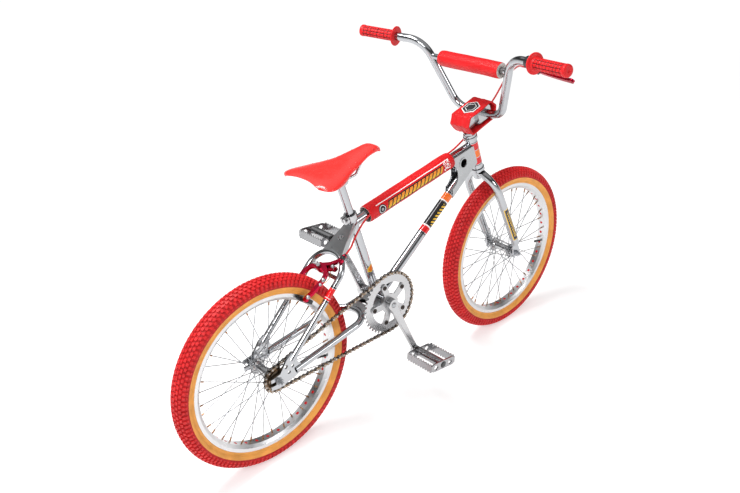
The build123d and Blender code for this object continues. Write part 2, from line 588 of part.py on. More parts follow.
with BuildPart() as brake_lever_perch:
    ring(perch_center - bar_right * PERCH_WIDTH / 2, bar_right, PERCH_WIDTH, PERCH_RADIUS,
         BAR_RADIUS + 0.02)
    with BuildSketch(lever_plane.offset(-7)) as body:
        with BuildLine():
            Polyline((-8, -LEVER_OFFSET + PERCH_RADIUS - 3), (-12, -10), (-20, 3), (-12, 8), (6, 8),
                     (9, -4), (8, -LEVER_OFFSET + PERCH_RADIUS - 3), close=True)
        make_face()
    extrude(body.sketch, amount=14)
    rod(perch_center - bar_right * 20, perch_center + bar_right * 20, BAR_RADIUS + 0.02,
        mode=Mode.SUBTRACT)
    with BuildSketch(lever_plane.offset(-LEVER_HALF - 0.4)) as jaw:
        with Locations((3, 2)):
            Rectangle(26, 22)
    extrude(jaw.sketch, amount=2 * LEVER_HALF + 0.8, mode=Mode.SUBTRACT)
    ring(lever_pivot - lever_axis * 8, lever_axis, 16, LEVER_PIN_RADIUS)
    ring(lever_pivot - lever_axis * 8, lever_axis * -1, 1.5, 4)
    ring(lever_pivot + lever_axis * 8, lever_axis, 1.5, 4)
finish(brake_lever_perch, "brake_lever_perch")

with BuildPart() as brake_lever:
    with BuildSketch(lever_plane.offset(-LEVER_HALF)) as blade:
        with BuildLine():
            inner_edge = Spline((-6, -4), (20, 2), (60, 8), (LEVER_LENGTH - 10, 8))
            tip = ThreePointArc(inner_edge @ 1, (LEVER_LENGTH, 14), (LEVER_LENGTH - 10, 20))
            outer_edge = Spline(tip @ 1, (60, 17), (20, 11), (-6, 5))
            Line(outer_edge @ 1, inner_edge @ 0)
        make_face()
    extrude(blade.sketch, amount=2 * LEVER_HALF)
    ring(lever_pivot - lever_axis * 10, lever_axis, 20, LEVER_PIN_RADIUS + RUNNING_FIT,
         mode=Mode.SUBTRACT)
finish(brake_lever, "brake_lever")

# ---------------------------------------------------------------- brake caliper
# Local frame of the caliper: x to the left, y down towards the shoes, z out to the rear.
ARM_THICKNESS = 7.0
SHOE_DROP = 90.0
SHOE_Y = 22.4
ARM_INSIDE = 34.0
ARM_WIDTH = 11.0
ARCH_CENTER = 32.0
BARREL_SPOT = (-44.0, -38.0)
ANCHOR_SPOT = (-38.5, -14.0)
caliper_plane = Plane(origin=BRAKE_PIVOT, x_dir=ACROSS, z_dir=BRAKE_OUT)


def caliper_point(across, down, out):
    """A point in the caliper's own frame."""
    return BRAKE_PIVOT + ACROSS * across + BRAKE_DOWN * down + BRAKE_OUT * out


def caliper_arm(side, out_from, arm_end):
    """One arm: a boss on the pivot, a quarter arch, a leg to the shoe and a cable horn."""
    middle = ARM_INSIDE + ARM_WIDTH / 2
    plane = caliper_plane.offset(out_from)
    with BuildSketch(plane) as arm:
        with BuildLine():
            arch = ThreePointArc((0, ARCH_CENTER - middle + 3), (side * middle * 0.72,
                                 ARCH_CENTER - middle * 0.69), (side * middle, ARCH_CENTER + 4))
            Polyline(arch @ 1, (side * middle, SHOE_DROP - 22), (side * (middle - 4), SHOE_DROP))
        trace(line_width=ARM_WIDTH)
        with BuildLine():
            Polyline((0, ARCH_CENTER - middle + 3), (arm_end[0] * 0.55, arm_end[1] * 0.45), arm_end)
        trace(line_width=ARM_WIDTH - 1)
        Circle(11)
        with Locations(arm_end):
            Circle(7)
        with Locations((side * (middle - 4), SHOE_DROP)):
            Circle(8)
        Circle(BRAKE_BOLT_RADIUS + RUNNING_FIT, mode=Mode.SUBTRACT)
        with Locations((side * (middle - 4), SHOE_DROP)):
            Circle(2, mode=Mode.SUBTRACT)
    extrude(arm.sketch, amount=ARM_THICKNESS)


SHOE_LENGTH = 48.0
SHOE_HEIGHT = 11.0
shoe_center = caliper_point(0, SHOE_DROP, 0)
shoe_radial = lengthwise(shoe_center - REAR_AXLE)
shoe_along = ACROSS.cross(shoe_radial) * -1


def brake_shoe(side, out_at):
    """A rubber block beside the rim, in a holder on a threaded stud."""
    face = RIM_HALF_WIDTH + 1.8
    base = shoe_center + shoe_radial * 0.5
    with BuildSketch(Plane(origin=base + ACROSS * side * face, x_dir=shoe_along,
                           z_dir=ACROSS * side)) as block:
        RectangleRounded(SHOE_LENGTH, SHOE_HEIGHT, 2)
    extrude(block.sketch, amount=9)
    stud = caliper_point(side * (face + 9), SHOE_DROP, out_at)
    ring(stud, ACROSS * side, ARM_INSIDE + 3 - face - 9, 3.2)


LEFT_ARM_OUT = 0.5
RIGHT_ARM_OUT = 8.5
SPACER_FROM = -7.9
with BuildPart() as brake_arm_right:
    caliper_arm(-1, RIGHT_ARM_OUT, BARREL_SPOT)
    barrel_base = caliper_point(BARREL_SPOT[0], BARREL_SPOT[1], RIGHT_ARM_OUT + ARM_THICKNESS / 2)
    ring(barrel_base, BRAKE_DOWN * -1, 17, 4.2)
    ring(barrel_base - BRAKE_DOWN * 9, BRAKE_DOWN * -1, 6, 6.2)
    brake_shoe(-1, RIGHT_ARM_OUT + ARM_THICKNESS / 2)
    ring(barrel_base + BRAKE_DOWN * 10, BRAKE_DOWN * -1, 30, 1.1, mode=Mode.SUBTRACT)
finish(brake_arm_right, "brake_arm_right")

with BuildPart() as brake_arm_left:
    caliper_arm(1, LEFT_ARM_OUT, ANCHOR_SPOT)
    anchor_base = caliper_point(ANCHOR_SPOT[0], ANCHOR_SPOT[1], LEFT_ARM_OUT + ARM_THICKNESS)
    ring(anchor_base, BRAKE_OUT, 5, 4.2)
    brake_shoe(1, LEFT_ARM_OUT + ARM_THICKNESS / 2)
finish(brake_arm_left, "brake_arm_left")

with BuildPart() as brake_pivot_bolt:
    ring(caliper_point(0, 0, -26), BRAKE_OUT, 47, BRAKE_BOLT_RADIUS)
    ring(caliper_point(0, 0, SPACER_FROM), BRAKE_OUT, LEFT_ARM_OUT - 0.1 - SPACER_FROM, 8)
    hexagon(caliper_point(0, 0, RIGHT_ARM_OUT + ARM_THICKNESS + 0.2), BRAKE_OUT, 5, 10, 0)
    hexagon(caliper_point(0, 0, -25.5), BRAKE_OUT, 5.5, 10, 0)
finish(brake_pivot_bolt, "brake_pivot_bolt")

# ---------------------------------------------------------------- brake cable
# The housing runs from the lever past the front of the stem pad, under the pad on the left,
# along the top tube inside its pad, and down the right of the seat tube to the caliper.
cable_entry = barrel_base - BRAKE_DOWN * 17.2
lever_exit = lever_pivot - bar_right * 20.5 + lever_away * 2


def on_stem(forward, up, left):
    """A point beside the stem: forward and up in the stem's frame, and to the left."""
    return stem_center + STEM_FORWARD * forward + STEER_UP * up + ACROSS * left


def beside_top_tube(x, turn):
    """A point that rides on the top tube at this X, turned to the left of its top."""
    center = TOP_TUBE_REAR + TOP_ALONG * ((x - TOP_TUBE_REAR.X) / TOP_ALONG.X)
    above = TOP_ALONG.cross(ACROSS)
    gap = TUBE_RADIUS + CABLE_RADIUS + 1.2
    return center + above * (gap * cos(radians(turn))) + ACROSS * (gap * sin(radians(turn)))


CABLE_JOINT = on_stem(4, -62, 25.5)
FRONT_ROUTE = [
    lever_exit,
    lever_exit - bar_right * 26,
    Vector(334, -126, 868),
    Vector(350, -76, 824),
    Vector(364, -50, 793),
    Vector(381, -16, 752),
    Vector(388, 12, 718),
    Vector(376, 24, 688),
    on_stem(58, -48, 24),
    on_stem(26, -57, 25.5),
    CABLE_JOINT,
]
REAR_ROUTE = [
    CABLE_JOINT,
    CABLE_JOINT * 2 - FRONT_ROUTE[-2],
    beside_top_tube(238, 42),
    beside_top_tube(205, 24),
    beside_top_tube(150, 18),
    beside_top_tube(95, 10),
    beside_top_tube(40, -6),
    beside_top_tube(-12, -30),
    beside_top_tube(-60, -62),
    beside_top_tube(-102, -76),
    Vector(-136, -23, 545),
    Vector(-172, -33.5, 520),
    cable_entry - BRAKE_DOWN * 24,
    cable_entry,
]


def bend_radii(route):
    """The largest bend at each corner that its two runs leave room for."""
    radii = []
    for before, corner, after in zip(route, route[1:], route[2:]):
        run_in = corner - before
        run_out = after - corner
        turn = radians(run_in.get_angle(run_out))
        shorter = min(run_in.length, run_out.length)
        radii.append(0.45 * shorter / (sin(turn / 2) / cos(turn / 2)))
    return radii


def cable(route, label):
    """A housing along a route, with its length and volume printed."""
    radii = bend_radii(route)
    with BuildPart() as housing:
        bent_tube(route, radii, CABLE_RADIUS)
    with BuildLine() as path:
        FilletPolyline(*route, radius=radii)
    length = sum(edge.length for edge in path.line.edges())
    expected = length * pi * CABLE_RADIUS ** 2
    print(label, "length", round(length, 1), "volume ratio",
          round(housing.part.volume / expected, 4))
    finish(housing, label)


cable(FRONT_ROUTE, "brake_cable_front")
cable(REAR_ROUTE, "brake_cable_rear")

# ---------------------------------------------------------------- wheels
RIM_PROFILE = [
    (209, 16.6), (209, 14.6), (203.5, 14.2), (199, 10), (199, -10), (203.5, -14.2), (209, -14.6),
    (209, -16.6), (200, -16.2), (192, -11), (192, 11), (200, 16.2),
]
SPOKES = 36
SPOKE_RADIUS = 1.0
NIPPLE_RADIUS = 1.9
NIPPLE_LENGTH = 11.0
FLANGE_RADIUS = 21.0
FLANGE_THICKNESS = 3.0
SPOKE_CIRCLE = 18.0
SPOKE_CROSS = 60.0


def turned(center, outline_points):
    """A solid turned about a cross axle, from points given as radius and Y."""
    with BuildSketch(Plane.YZ.offset(center.X)) as profile:
        with BuildLine():
            Polyline(*[(y, center.Z + radius) for radius, y in outline_points], close=True)
        make_face()
    revolve(profile.sketch, axis=Axis(center, ACROSS))


def polar(center, radius, angle, y):
    """A point beside an axle, by radius and angle in the XZ plane."""
    return Vector(center.X + radius * cos(radians(angle)), y,
                  center.Z + radius * sin(radians(angle)))


def wheel(name, axle, left_flange, right_flange, hub_left, hub_right):
    """Rim, tyre, hub, bearings and spokes of one wheel."""
    with BuildPart() as rim:
        turned(axle, RIM_PROFILE)
    finish(rim, f"{name}_rim")

    with BuildPart() as tyre:
        with BuildSketch(Plane.YZ.offset(axle.X)) as section:
            with Locations((0, axle.Z + TYRE_RADIUS - TYRE_SECTION)):
                Circle(TYRE_SECTION)
                Circle(TYRE_SECTION - TYRE_WALL, mode=Mode.SUBTRACT)
            with Locations((0, axle.Z + RIM_FLANGE_RADIUS - 20 + 0.2)):
                Rectangle(60, 40, mode=Mode.SUBTRACT)
        revolve(section.sketch, axis=Axis(axle, ACROSS))
    finish(tyre, f"{name}_tyre")

    with BuildPart() as hub:
        half = FLANGE_THICKNESS / 2
        turned(axle, [
            (11.2, hub_left), (13.5, hub_left), (13.5, left_flange + half),
            (FLANGE_RADIUS, left_flange + half), (FLANGE_RADIUS, left_flange - half),
            (14, left_flange - half), (11, left_flange - half - 6),
            (11, right_flange + half + 6), (14, right_flange + half),
            (FLANGE_RADIUS, right_flange + half), (FLANGE_RADIUS, right_flange - half),
            (13.5, right_flange - half), (13.5, hub_right), (11.2, hub_right),
            (11.2, hub_right + 9), (7.5, hub_right + 9), (7.5, hub_left - 9), (11.2, hub_left - 9),
        ])
    finish(hub, f"{name}_hub")

    with BuildPart() as bearings:
        ring(Vector(axle.X, hub_left - 0.5, axle.Z), ACROSS * -1, 8, 11.15,
             AXLE_RADIUS + RUNNING_FIT)
        ring(Vector(axle.X, hub_right + 0.5, axle.Z), ACROSS, 8, 11.15, AXLE_RADIUS + RUNNING_FIT)
    finish(bearings, f"{name}_bearings")

    with BuildPart() as spokes:
        for index in range(SPOKES):
            side = 1 if index % 2 else -1
            leading = 1 if index % 4 < 2 else -1
            flange = left_flange if side > 0 else right_flange
            angle = 360 / SPOKES * index
            face = flange + leading * side * (FLANGE_THICKNESS / 2 + SPOKE_RADIUS + 0.9)
            start = polar(axle, SPOKE_CIRCLE, angle + leading * SPOKE_CROSS, face)
            end = polar(axle, RIM_INNER_RADIUS - 0.5, angle, side * 3.0)
            inward = lengthwise(start - end)
            rod(start, end + inward * NIPPLE_LENGTH, SPOKE_RADIUS)
            rod(end + inward * NIPPLE_LENGTH, end, NIPPLE_RADIUS)
    finish(spokes, f"{name}_spokes")


wheel("front", FRONT_AXLE, 31.0, -31.0, 42.0, -42.0)
wheel("rear", REAR_AXLE, 33.0, -24.0, 46.0, -38.0)

AXLE_NUT = 8.0
AXLE_TIP_RADIUS = 4.5
AXLE_TIP_LENGTH = 6.0


def axle_rod(axle, half):
    """An axle out to just past its nuts, and a slightly thinner plain tip at each end."""
    rod(axle - ACROSS * half, axle + ACROSS * half, AXLE_RADIUS)
    for side in (1, -1):
        ring(axle + ACROSS * side * half, ACROSS * side, AXLE_TIP_LENGTH, AXLE_TIP_RADIUS)


with BuildPart() as front_axle:
    axle_rod(FRONT_AXLE, 63.6)
    for side in (1, -1):
        ring(FRONT_AXLE + ACROSS * side * 43, ACROSS * side, 6.9, 7.8)
with BuildPart() as front_axle_nuts:
    for side in (1, -1):
        face = FRONT_AXLE + ACROSS * side * (FRONT_DROPOUT_GAP + FORK_TAB_THICKNESS + 0.05)
        ring(face, ACROSS * side, 1.5, 9.5, AXLE_RADIUS)
        hexagon(face + ACROSS * side * 1.5, ACROSS * side, AXLE_NUT - 1.5, 15, AXLE_RADIUS)
finish_group([front_axle, front_axle_nuts], "front_axle")

with BuildPart() as rear_axle:
    axle_rod(REAR_AXLE, 70.6)
    ring(REAR_AXLE + ACROSS * 47, ACROSS, 7.9, 7.8)
    ring(REAR_AXLE - ACROSS * 39, ACROSS * -1, 15.9, 7.2)
with BuildPart() as rear_axle_nuts:
    for side in (1, -1):
        face = REAR_AXLE + ACROSS * side * (REAR_DROPOUT_GAP + DROPOUT_THICKNESS + 0.05)
        ring(face, ACROSS * side, 1.5, 10.5, AXLE_RADIUS)
        hexagon(face + ACROSS * side * 1.5, ACROSS * side, AXLE_NUT, 15, AXLE_RADIUS)
finish_group([rear_axle, rear_axle_nuts], "rear_axle")

# ---------------------------------------------------------------- drivetrain
PLATE_THICKNESS = 2.2
TOOTH_DEPTH = 3.6


def pitch_radius(teeth):
    """The chain's pitch radius on a sprocket with this many teeth."""
    return CHAIN_PITCH / (2 * sin(pi / teeth))


def sprocket_points(teeth):
    """A toothed outline: each tooth has a root gap, two flanks and a flat tip."""
    pitch = pitch_radius(teeth)
    points = []
    for tooth in range(teeth):
        for step, radius in ((-0.30, pitch - TOOTH_DEPTH), (-0.12, pitch + TOOTH_DEPTH * 0.8),
                             (0.12, pitch + TOOTH_DEPTH * 0.8), (0.30, pitch - TOOTH_DEPTH)):
            angle = 2 * pi * (tooth + step) / teeth
            points.append((radius * cos(angle), radius * sin(angle)))
    return points


RING_INNER = 60.0
BOLT_CIRCLE = 55.0
SPIDER_ARMS = 5
SPIDER_HUB_RADIUS = 28.0
SPIDER_ARM_WIDTH = 19.0
SPIDER_TURN = 36.0
BOLT_RADIUS = 4.0
SPIDER_THICKNESS = 4.0
crank_side = Plane(origin=(BOTTOM_BRACKET.X, CHAIN_LINE + PLATE_THICKNESS / 2, BOTTOM_BRACKET.Z),
                   x_dir=(1, 0, 0), z_dir=(0, -1, 0))
spider_angles = [SPIDER_TURN + 360 / SPIDER_ARMS * arm for arm in range(SPIDER_ARMS)]

with BuildPart() as chainring:
    with BuildSketch(crank_side) as plate:
        with BuildLine():
            Polyline(*sprocket_points(RING_TEETH), close=True)
        make_face()
        Circle(RING_INNER, mode=Mode.SUBTRACT)
        for angle in spider_angles:
            with PolarLocations(BOLT_CIRCLE, 1, angle):
                Circle(9)
            with PolarLocations(BOLT_CIRCLE + 6, 1, angle):
                Rectangle(10, 20)
        for angle in spider_angles:
            with PolarLocations(BOLT_CIRCLE, 1, angle):
                Circle(BOLT_RADIUS + 0.1, mode=Mode.SUBTRACT)
    extrude(plate.sketch, amount=PLATE_THICKNESS)
finish(chainring, "chainring")

with BuildPart() as chainring_spider:
    with BuildSketch(crank_side.offset(PLATE_THICKNESS)) as arms:
        Circle(SPIDER_HUB_RADIUS)
        for angle in spider_angles:
            with PolarLocations(BOLT_CIRCLE / 2, 1, angle):
                Rectangle(BOLT_CIRCLE, SPIDER_ARM_WIDTH)
            with PolarLocations(BOLT_CIRCLE, 1, angle):
                Circle(SPIDER_ARM_WIDTH / 2)
        for angle in spider_angles:
            with PolarLocations(BOLT_CIRCLE, 1, angle):
                Circle(BOLT_RADIUS + 0.1, mode=Mode.SUBTRACT)
        Circle(CRANK_AXLE_RADIUS + 0.05, mode=Mode.SUBTRACT)
    extrude(arms.sketch, amount=SPIDER_THICKNESS)
finish(chainring_spider, "chainring_spider")

with BuildPart() as chainring_bolts:
    for angle in spider_angles:
        spot = Vector(BOTTOM_BRACKET.X + BOLT_CIRCLE * cos(radians(angle)), 0,
                      BOTTOM_BRACKET.Z + BOLT_CIRCLE * sin(radians(angle)))
        front_face = spot + ACROSS * (CHAIN_LINE - PLATE_THICKNESS / 2 - SPIDER_THICKNESS)
        back_face = spot + ACROSS * (CHAIN_LINE + PLATE_THICKNESS / 2)
        rod(front_face, back_face, BOLT_RADIUS)
        ring(front_face, ACROSS * -1, 1.4, 6.2, 2.4)
        ring(back_face, ACROSS, 1.4, 6.2)
finish(chainring_bolts, "chainring_bolts")

ARM_ROOT_Y = 50.6              # inner face of the right boss, just outside the spider
ARM_BOSS_LENGTH = 14.0
ARM_BOSS_RADIUS = 16.0
LEFT_BOSS_EXTRA = 8.0
ARM_END_Y = 70.0
ARM_ROOT_DEPTH = 14.0
ARM_END_DEPTH = 12.0
SPINDLE_RADIUS = 6.3


def crank_arm(side):
    """A tapered arm between the boss on the axle and the pedal eye."""
    angle = CRANK_ANGLE if side < 0 else CRANK_ANGLE + 180
    along = Vector(cos(radians(angle)), 0, sin(radians(angle)))
    outward = ACROSS * side
    extra = 0.0 if side < 0 else LEFT_BOSS_EXTRA
    root = BOTTOM_BRACKET + outward * (ARM_ROOT_Y - extra)
    eye = BOTTOM_BRACKET + along * CRANK_LENGTH + outward * ARM_END_Y
    ring(root, outward, ARM_BOSS_LENGTH + extra, ARM_BOSS_RADIUS)
    ring(eye - outward, outward, ARM_END_DEPTH + 1, 12.5)
    sections = []
    stations = ((9, ARM_ROOT_Y + 7, 25, ARM_ROOT_DEPTH), (70, ARM_ROOT_Y + 13, 21, 12.5),
                (CRANK_LENGTH - 4, ARM_END_Y + 6, 18.5, 10.5))
    for distance, middle_y, width, depth in stations:
        center = BOTTOM_BRACKET + along * distance + outward * middle_y
        with BuildSketch(Plane(origin=center, x_dir=outward, z_dir=along)) as section:
            RectangleRounded(depth, width, 4)
        sections.append(section.sketch)
    return sections


ARM_NAMES = {-1: "crank_arm_right", 1: "crank_arm_left"}
for arm_side in (-1, 1):
    with BuildPart() as arm_piece:
        loft(crank_arm(arm_side))
        ring(BOTTOM_BRACKET, ACROSS * arm_side, 120, CRANK_AXLE_RADIUS + 0.02, mode=Mode.SUBTRACT)
        eye_angle = CRANK_ANGLE if arm_side < 0 else CRANK_ANGLE + 180
        eye_center = polar(BOTTOM_BRACKET, CRANK_LENGTH, eye_angle, 0)
        ring(eye_center, ACROSS * arm_side, 120, SPINDLE_RADIUS + 0.02, mode=Mode.SUBTRACT)
    finish(arm_piece, ARM_NAMES[arm_side])

with BuildPart() as crank_axle:
    rod(BOTTOM_BRACKET - ACROSS * 60.5, BOTTOM_BRACKET + ACROSS * 60.5, CRANK_AXLE_RADIUS)
    for side in (1, -1):
        ring(BOTTOM_BRACKET + ACROSS * side * 60.5, ACROSS * side, 5, 7.6)
finish(crank_axle, "crank_axle")

CHAIN_HALF_HEIGHT = 4.3
CHAIN_PLATE = 1.3
CHAIN_GAP = 1.6


def belt_outline(grow):
    """The loop that the chain makes round both sprockets, grown by this much."""
    ring_radius = pitch_radius(RING_TEETH) + grow
    cog_radius = pitch_radius(COG_TEETH) + grow
    span = BOTTOM_BRACKET - REAR_AXLE
    lean = atan2(span.Z, span.X)
    spread = asin((ring_radius - cog_radius) / hypot(span.X, span.Z))
    upper = lean + pi / 2 + spread
    lower = lean - pi / 2 - spread
    ring_top = Vector(BOTTOM_BRACKET.X + ring_radius * cos(upper), BOTTOM_BRACKET.Z + ring_radius * sin(upper))
    cog_top = Vector(REAR_AXLE.X + cog_radius * cos(upper), REAR_AXLE.Z + cog_radius * sin(upper))
    ring_low = Vector(BOTTOM_BRACKET.X + ring_radius * cos(lower), BOTTOM_BRACKET.Z + ring_radius * sin(lower))
    cog_low = Vector(REAR_AXLE.X + cog_radius * cos(lower), REAR_AXLE.Z + cog_radius * sin(lower))
    ring_front = Vector(BOTTOM_BRACKET.X + ring_radius * cos(lean), BOTTOM_BRACKET.Z + ring_radius * sin(lean))
    cog_back = Vector(REAR_AXLE.X - cog_radius * cos(lean), REAR_AXLE.Z - cog_radius * sin(lean))
    Line(cog_top, ring_top)
    ThreePointArc(ring_top, ring_front, ring_low)
    Line(ring_low, cog_low)
    ThreePointArc(cog_low, cog_back, cog_top)


with BuildPart() as chain:
    for side in (1, -1):
        near = CHAIN_LINE + side * CHAIN_GAP
        far = CHAIN_LINE + side * (CHAIN_GAP + 2 * CHAIN_PLATE)
        start_y = max(near, far)
        with BuildSketch(Plane(origin=(0, start_y, 0), x_dir=(1, 0, 0), z_dir=(0, -1, 0))) as outside:
            with BuildLine():
                belt_outline(CHAIN_HALF_HEIGHT)
            make_face()
        extrude(outside.sketch, amount=2 * CHAIN_PLATE)
        with BuildSketch(Plane(origin=(0, start_y, 0), x_dir=(1, 0, 0), z_dir=(0, -1, 0))) as inside:
            with BuildLine():
                belt_outline(-CHAIN_HALF_HEIGHT)
            make_face()
        extrude(inside.sketch, amount=2 * CHAIN_PLATE, mode=Mode.SUBTRACT)
finish(chain, "chain")

COG_BODY_RADIUS = 26.0
COG_INSIDE = 2.9
COG_OUTSIDE = 4.9
cog_plane = Plane(origin=(REAR_AXLE.X, CHAIN_LINE + PLATE_THICKNESS / 2, REAR_AXLE.Z),
                  x_dir=(1, 0, 0), z_dir=(0, -1, 0))
with BuildPart() as freewheel_cog:
    with BuildSketch(cog_plane) as teeth_plate:
        with BuildLine():
            Polyline(*sprocket_points(COG_TEETH), close=True)
        make_face()
        Circle(16, mode=Mode.SUBTRACT)
    extrude(teeth_plate.sketch, amount=PLATE_THICKNESS)
    for start, depth in ((-COG_INSIDE, COG_INSIDE), (PLATE_THICKNESS, COG_OUTSIDE)):
        with BuildSketch(cog_plane.offset(start)) as barrel:
            Circle(COG_BODY_RADIUS)
            Circle(16, mode=Mode.SUBTRACT)
        extrude(barrel.sketch, amount=depth)
finish(freewheel_cog, "freewheel_cog")

with BuildPart() as freewheel_body:
    ring(Vector(REAR_AXLE.X, -38.2, REAR_AXLE.Z), ACROSS * -1, 13.5, 16 - RUNNING_FIT, 7.5)
    ring(Vector(REAR_AXLE.X, -38.2, REAR_AXLE.Z), ACROSS * -1, 2.4, 19, 7.5)
finish(freewheel_body, "freewheel_body")

# ---------------------------------------------------------------- pedals
PEDAL_INNER_Y = 90.0
PEDAL_OUTER_Y = 182.0
PEDAL_HALF = 45.0
CAGE_HEIGHT = 24.0
CAGE_SHEET = 2.5
TOOTH_PITCH = 9.0


def pedal(side):
    """A barrel on the spindle with a serrated cage bolted round it."""
    angle = CRANK_ANGLE if side < 0 else CRANK_ANGLE + 180
    center = polar(BOTTOM_BRACKET, CRANK_LENGTH, angle, 0)
    forward = Vector(cos(radians(PEDAL_TILT)), 0, sin(radians(PEDAL_TILT)))
    upward = Vector(-forward.Z, 0, forward.X)
    outward = ACROSS * side
    length = PEDAL_OUTER_Y - PEDAL_INNER_Y
    middle = center + outward * (PEDAL_INNER_Y + length / 2)
    ring(center + outward * PEDAL_INNER_Y, outward, length, 12.5)
    for end_y, thickness in ((PEDAL_INNER_Y, 4), (PEDAL_OUTER_Y - 4, 4)):
        origin = center + outward * end_y
        with BuildSketch(Plane(origin=origin, x_dir=forward, z_dir=outward)) as plate:
            SlotOverall(2 * PEDAL_HALF, CAGE_HEIGHT)
        extrude(plate.sketch, amount=thickness)
    for end in (1, -1):
        origin = middle + forward * (end * (PEDAL_HALF - CAGE_SHEET / 2))
        with BuildSketch(Plane(origin=origin, x_dir=outward, z_dir=forward)) as sheet:
            Rectangle(length, CAGE_HEIGHT - 7)
            count = int(length / TOOTH_PITCH)
            with GridLocations(TOOTH_PITCH, 0, count, 1):
                Rectangle(TOOTH_PITCH * 0.55, CAGE_HEIGHT)
        extrude(sheet.sketch, amount=CAGE_SHEET / 2, both=True)
    for hole in (1, -1):
        origin = center + outward * (PEDAL_INNER_Y - 1) + forward * (hole * 27)
        ring(origin, outward, length + 2, 7.5, mode=Mode.SUBTRACT)
    ring(center + outward * (PEDAL_INNER_Y - 5), outward, length + 2, SPINDLE_RADIUS + RUNNING_FIT,
         mode=Mode.SUBTRACT)


with BuildPart() as pedal_right:
    pedal(-1)
finish(pedal_right, "pedal_right")

with BuildPart() as pedal_left:
    pedal(1)
finish(pedal_left, "pedal_left")

with BuildPart() as pedal_spindles:
    for side in (-1, 1):
        angle = CRANK_ANGLE if side < 0 else CRANK_ANGLE + 180
        center = polar(BOTTOM_BRACKET, CRANK_LENGTH, angle, 0)
        ring(center + ACROSS * side * (ARM_END_Y - 1), ACROSS * side, 106, SPINDLE_RADIUS)
        ring(center + ACROSS * side * (ARM_END_Y + ARM_END_DEPTH + 0.1), ACROSS * side, 6, 9.5)
finish(pedal_spindles, "pedal_spindles")

# ---------------------------------------------------------------- seat
POST_BOTTOM = 110.0            # below the top of the seat tube
POST_TOP = 118.0
SADDLE_SHELL = 3.0
# x, crest height, half width, depth of the skirt below the crest
SADDLE_STATIONS = [
    (-289, 713, 62, 9), (-276, 717, 84, 16), (-255, 719, 87, 20), (-220, 720, 75, 20),
    (-180, 722, 54, 16), (-150, 725, 42, 15), (-105, 734, 29, 13), (-72, 739, 23, 15),
    (-52, 731, 15, 13), (-43, 722, 7, 8),
]


def saddle_section(x, crest, half, skirt):
    """An arched band across the saddle, as thick as its shell."""
    low = crest - skirt
    inner = half - SADDLE_SHELL
    shoulder = crest - skirt * 0.42
    under_shoulder = crest - SADDLE_SHELL - skirt * 0.4
    with BuildSketch(Plane.YZ.offset(x)) as section:
        with BuildLine():
            over = Spline((-half, low), (-half * 0.86, shoulder), (0, crest),
                          (half * 0.86, shoulder), (half, low))
            under = Spline((inner, low), (inner * 0.84, under_shoulder), (0, crest - SADDLE_SHELL),
                           (-inner * 0.84, under_shoulder), (-inner, low))
            Line(over @ 1, under @ 0)
            Line(under @ 1, over @ 0)
        make_face()
    return section.sketch


with BuildPart() as saddle_shell:
    loft([saddle_section(*station) for station in SADDLE_STATIONS])
finish(saddle_shell, "saddle_shell")

post_top = SEAT_TUBE_TOP + SEAT_UP * POST_TOP
with BuildPart() as seat_post:
    rod(SEAT_TUBE_TOP - SEAT_UP * POST_BOTTOM, post_top, SEAT_POST_RADIUS, SEAT_POST_RADIUS - 2)
finish(seat_post, "seat_post")

RAIL_Y = 20.0
RAIL_RADIUS = 3.5
RAIL_DROP = 6.0
rail_along = lengthwise(Vector(1, 0, 0.13))
rail_center = post_top - SEAT_UP * RAIL_DROP
with BuildPart() as saddle_clamp:
    ring(post_top - SEAT_UP * 22, SEAT_UP, 24, 15.5)
    rod(rail_center - ACROSS * 27, rail_center + ACROSS * 27, 9.5)
    ring(post_top - SEAT_UP * 40, SEAT_UP, 40, SEAT_POST_RADIUS + 0.02, mode=Mode.SUBTRACT)
    for side in (1, -1):
        rail = rail_center + ACROSS * side * RAIL_Y
        rod(rail - rail_along * 50, rail + rail_along * 50, RAIL_RADIUS + 0.02, mode=Mode.SUBTRACT)
finish(saddle_clamp, "saddle_clamp")

with BuildPart() as saddle_rails:
    for side in (1, -1):
        rail = rail_center + ACROSS * side * RAIL_Y
        rear_end = Vector(-246, side * 36, 710)
        front_end = Vector(-94, side * 8, 727)
        bent_tube([rear_end, rail - rail_along * 36, rail + rail_along * 40, front_end], 14,
                  RAIL_RADIUS)
finish(saddle_rails, "saddle_rails")
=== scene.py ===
import json
import math
import random

import bmesh
import bpy
from mathutils import Matrix, Vector


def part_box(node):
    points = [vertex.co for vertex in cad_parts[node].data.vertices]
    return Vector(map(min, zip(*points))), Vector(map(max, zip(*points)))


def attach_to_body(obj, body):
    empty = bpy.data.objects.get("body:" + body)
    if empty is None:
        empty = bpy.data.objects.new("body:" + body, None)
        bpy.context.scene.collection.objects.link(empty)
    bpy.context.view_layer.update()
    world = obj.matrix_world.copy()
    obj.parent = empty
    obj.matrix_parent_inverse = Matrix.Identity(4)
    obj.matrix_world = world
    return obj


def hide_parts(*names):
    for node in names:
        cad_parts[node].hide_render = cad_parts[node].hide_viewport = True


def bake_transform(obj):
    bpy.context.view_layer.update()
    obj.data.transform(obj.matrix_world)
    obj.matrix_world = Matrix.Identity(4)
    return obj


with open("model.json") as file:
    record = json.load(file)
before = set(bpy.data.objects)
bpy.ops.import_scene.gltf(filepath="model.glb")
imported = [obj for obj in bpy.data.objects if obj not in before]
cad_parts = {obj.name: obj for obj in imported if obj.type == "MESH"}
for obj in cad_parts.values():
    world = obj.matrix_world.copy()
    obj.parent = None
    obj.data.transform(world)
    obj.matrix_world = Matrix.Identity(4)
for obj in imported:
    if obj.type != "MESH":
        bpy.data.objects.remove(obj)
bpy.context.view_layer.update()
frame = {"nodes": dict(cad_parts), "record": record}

MM = 0.001
joints = {joint["name"]: joint for joint in frame["record"]["behaviour"]["joints"]}


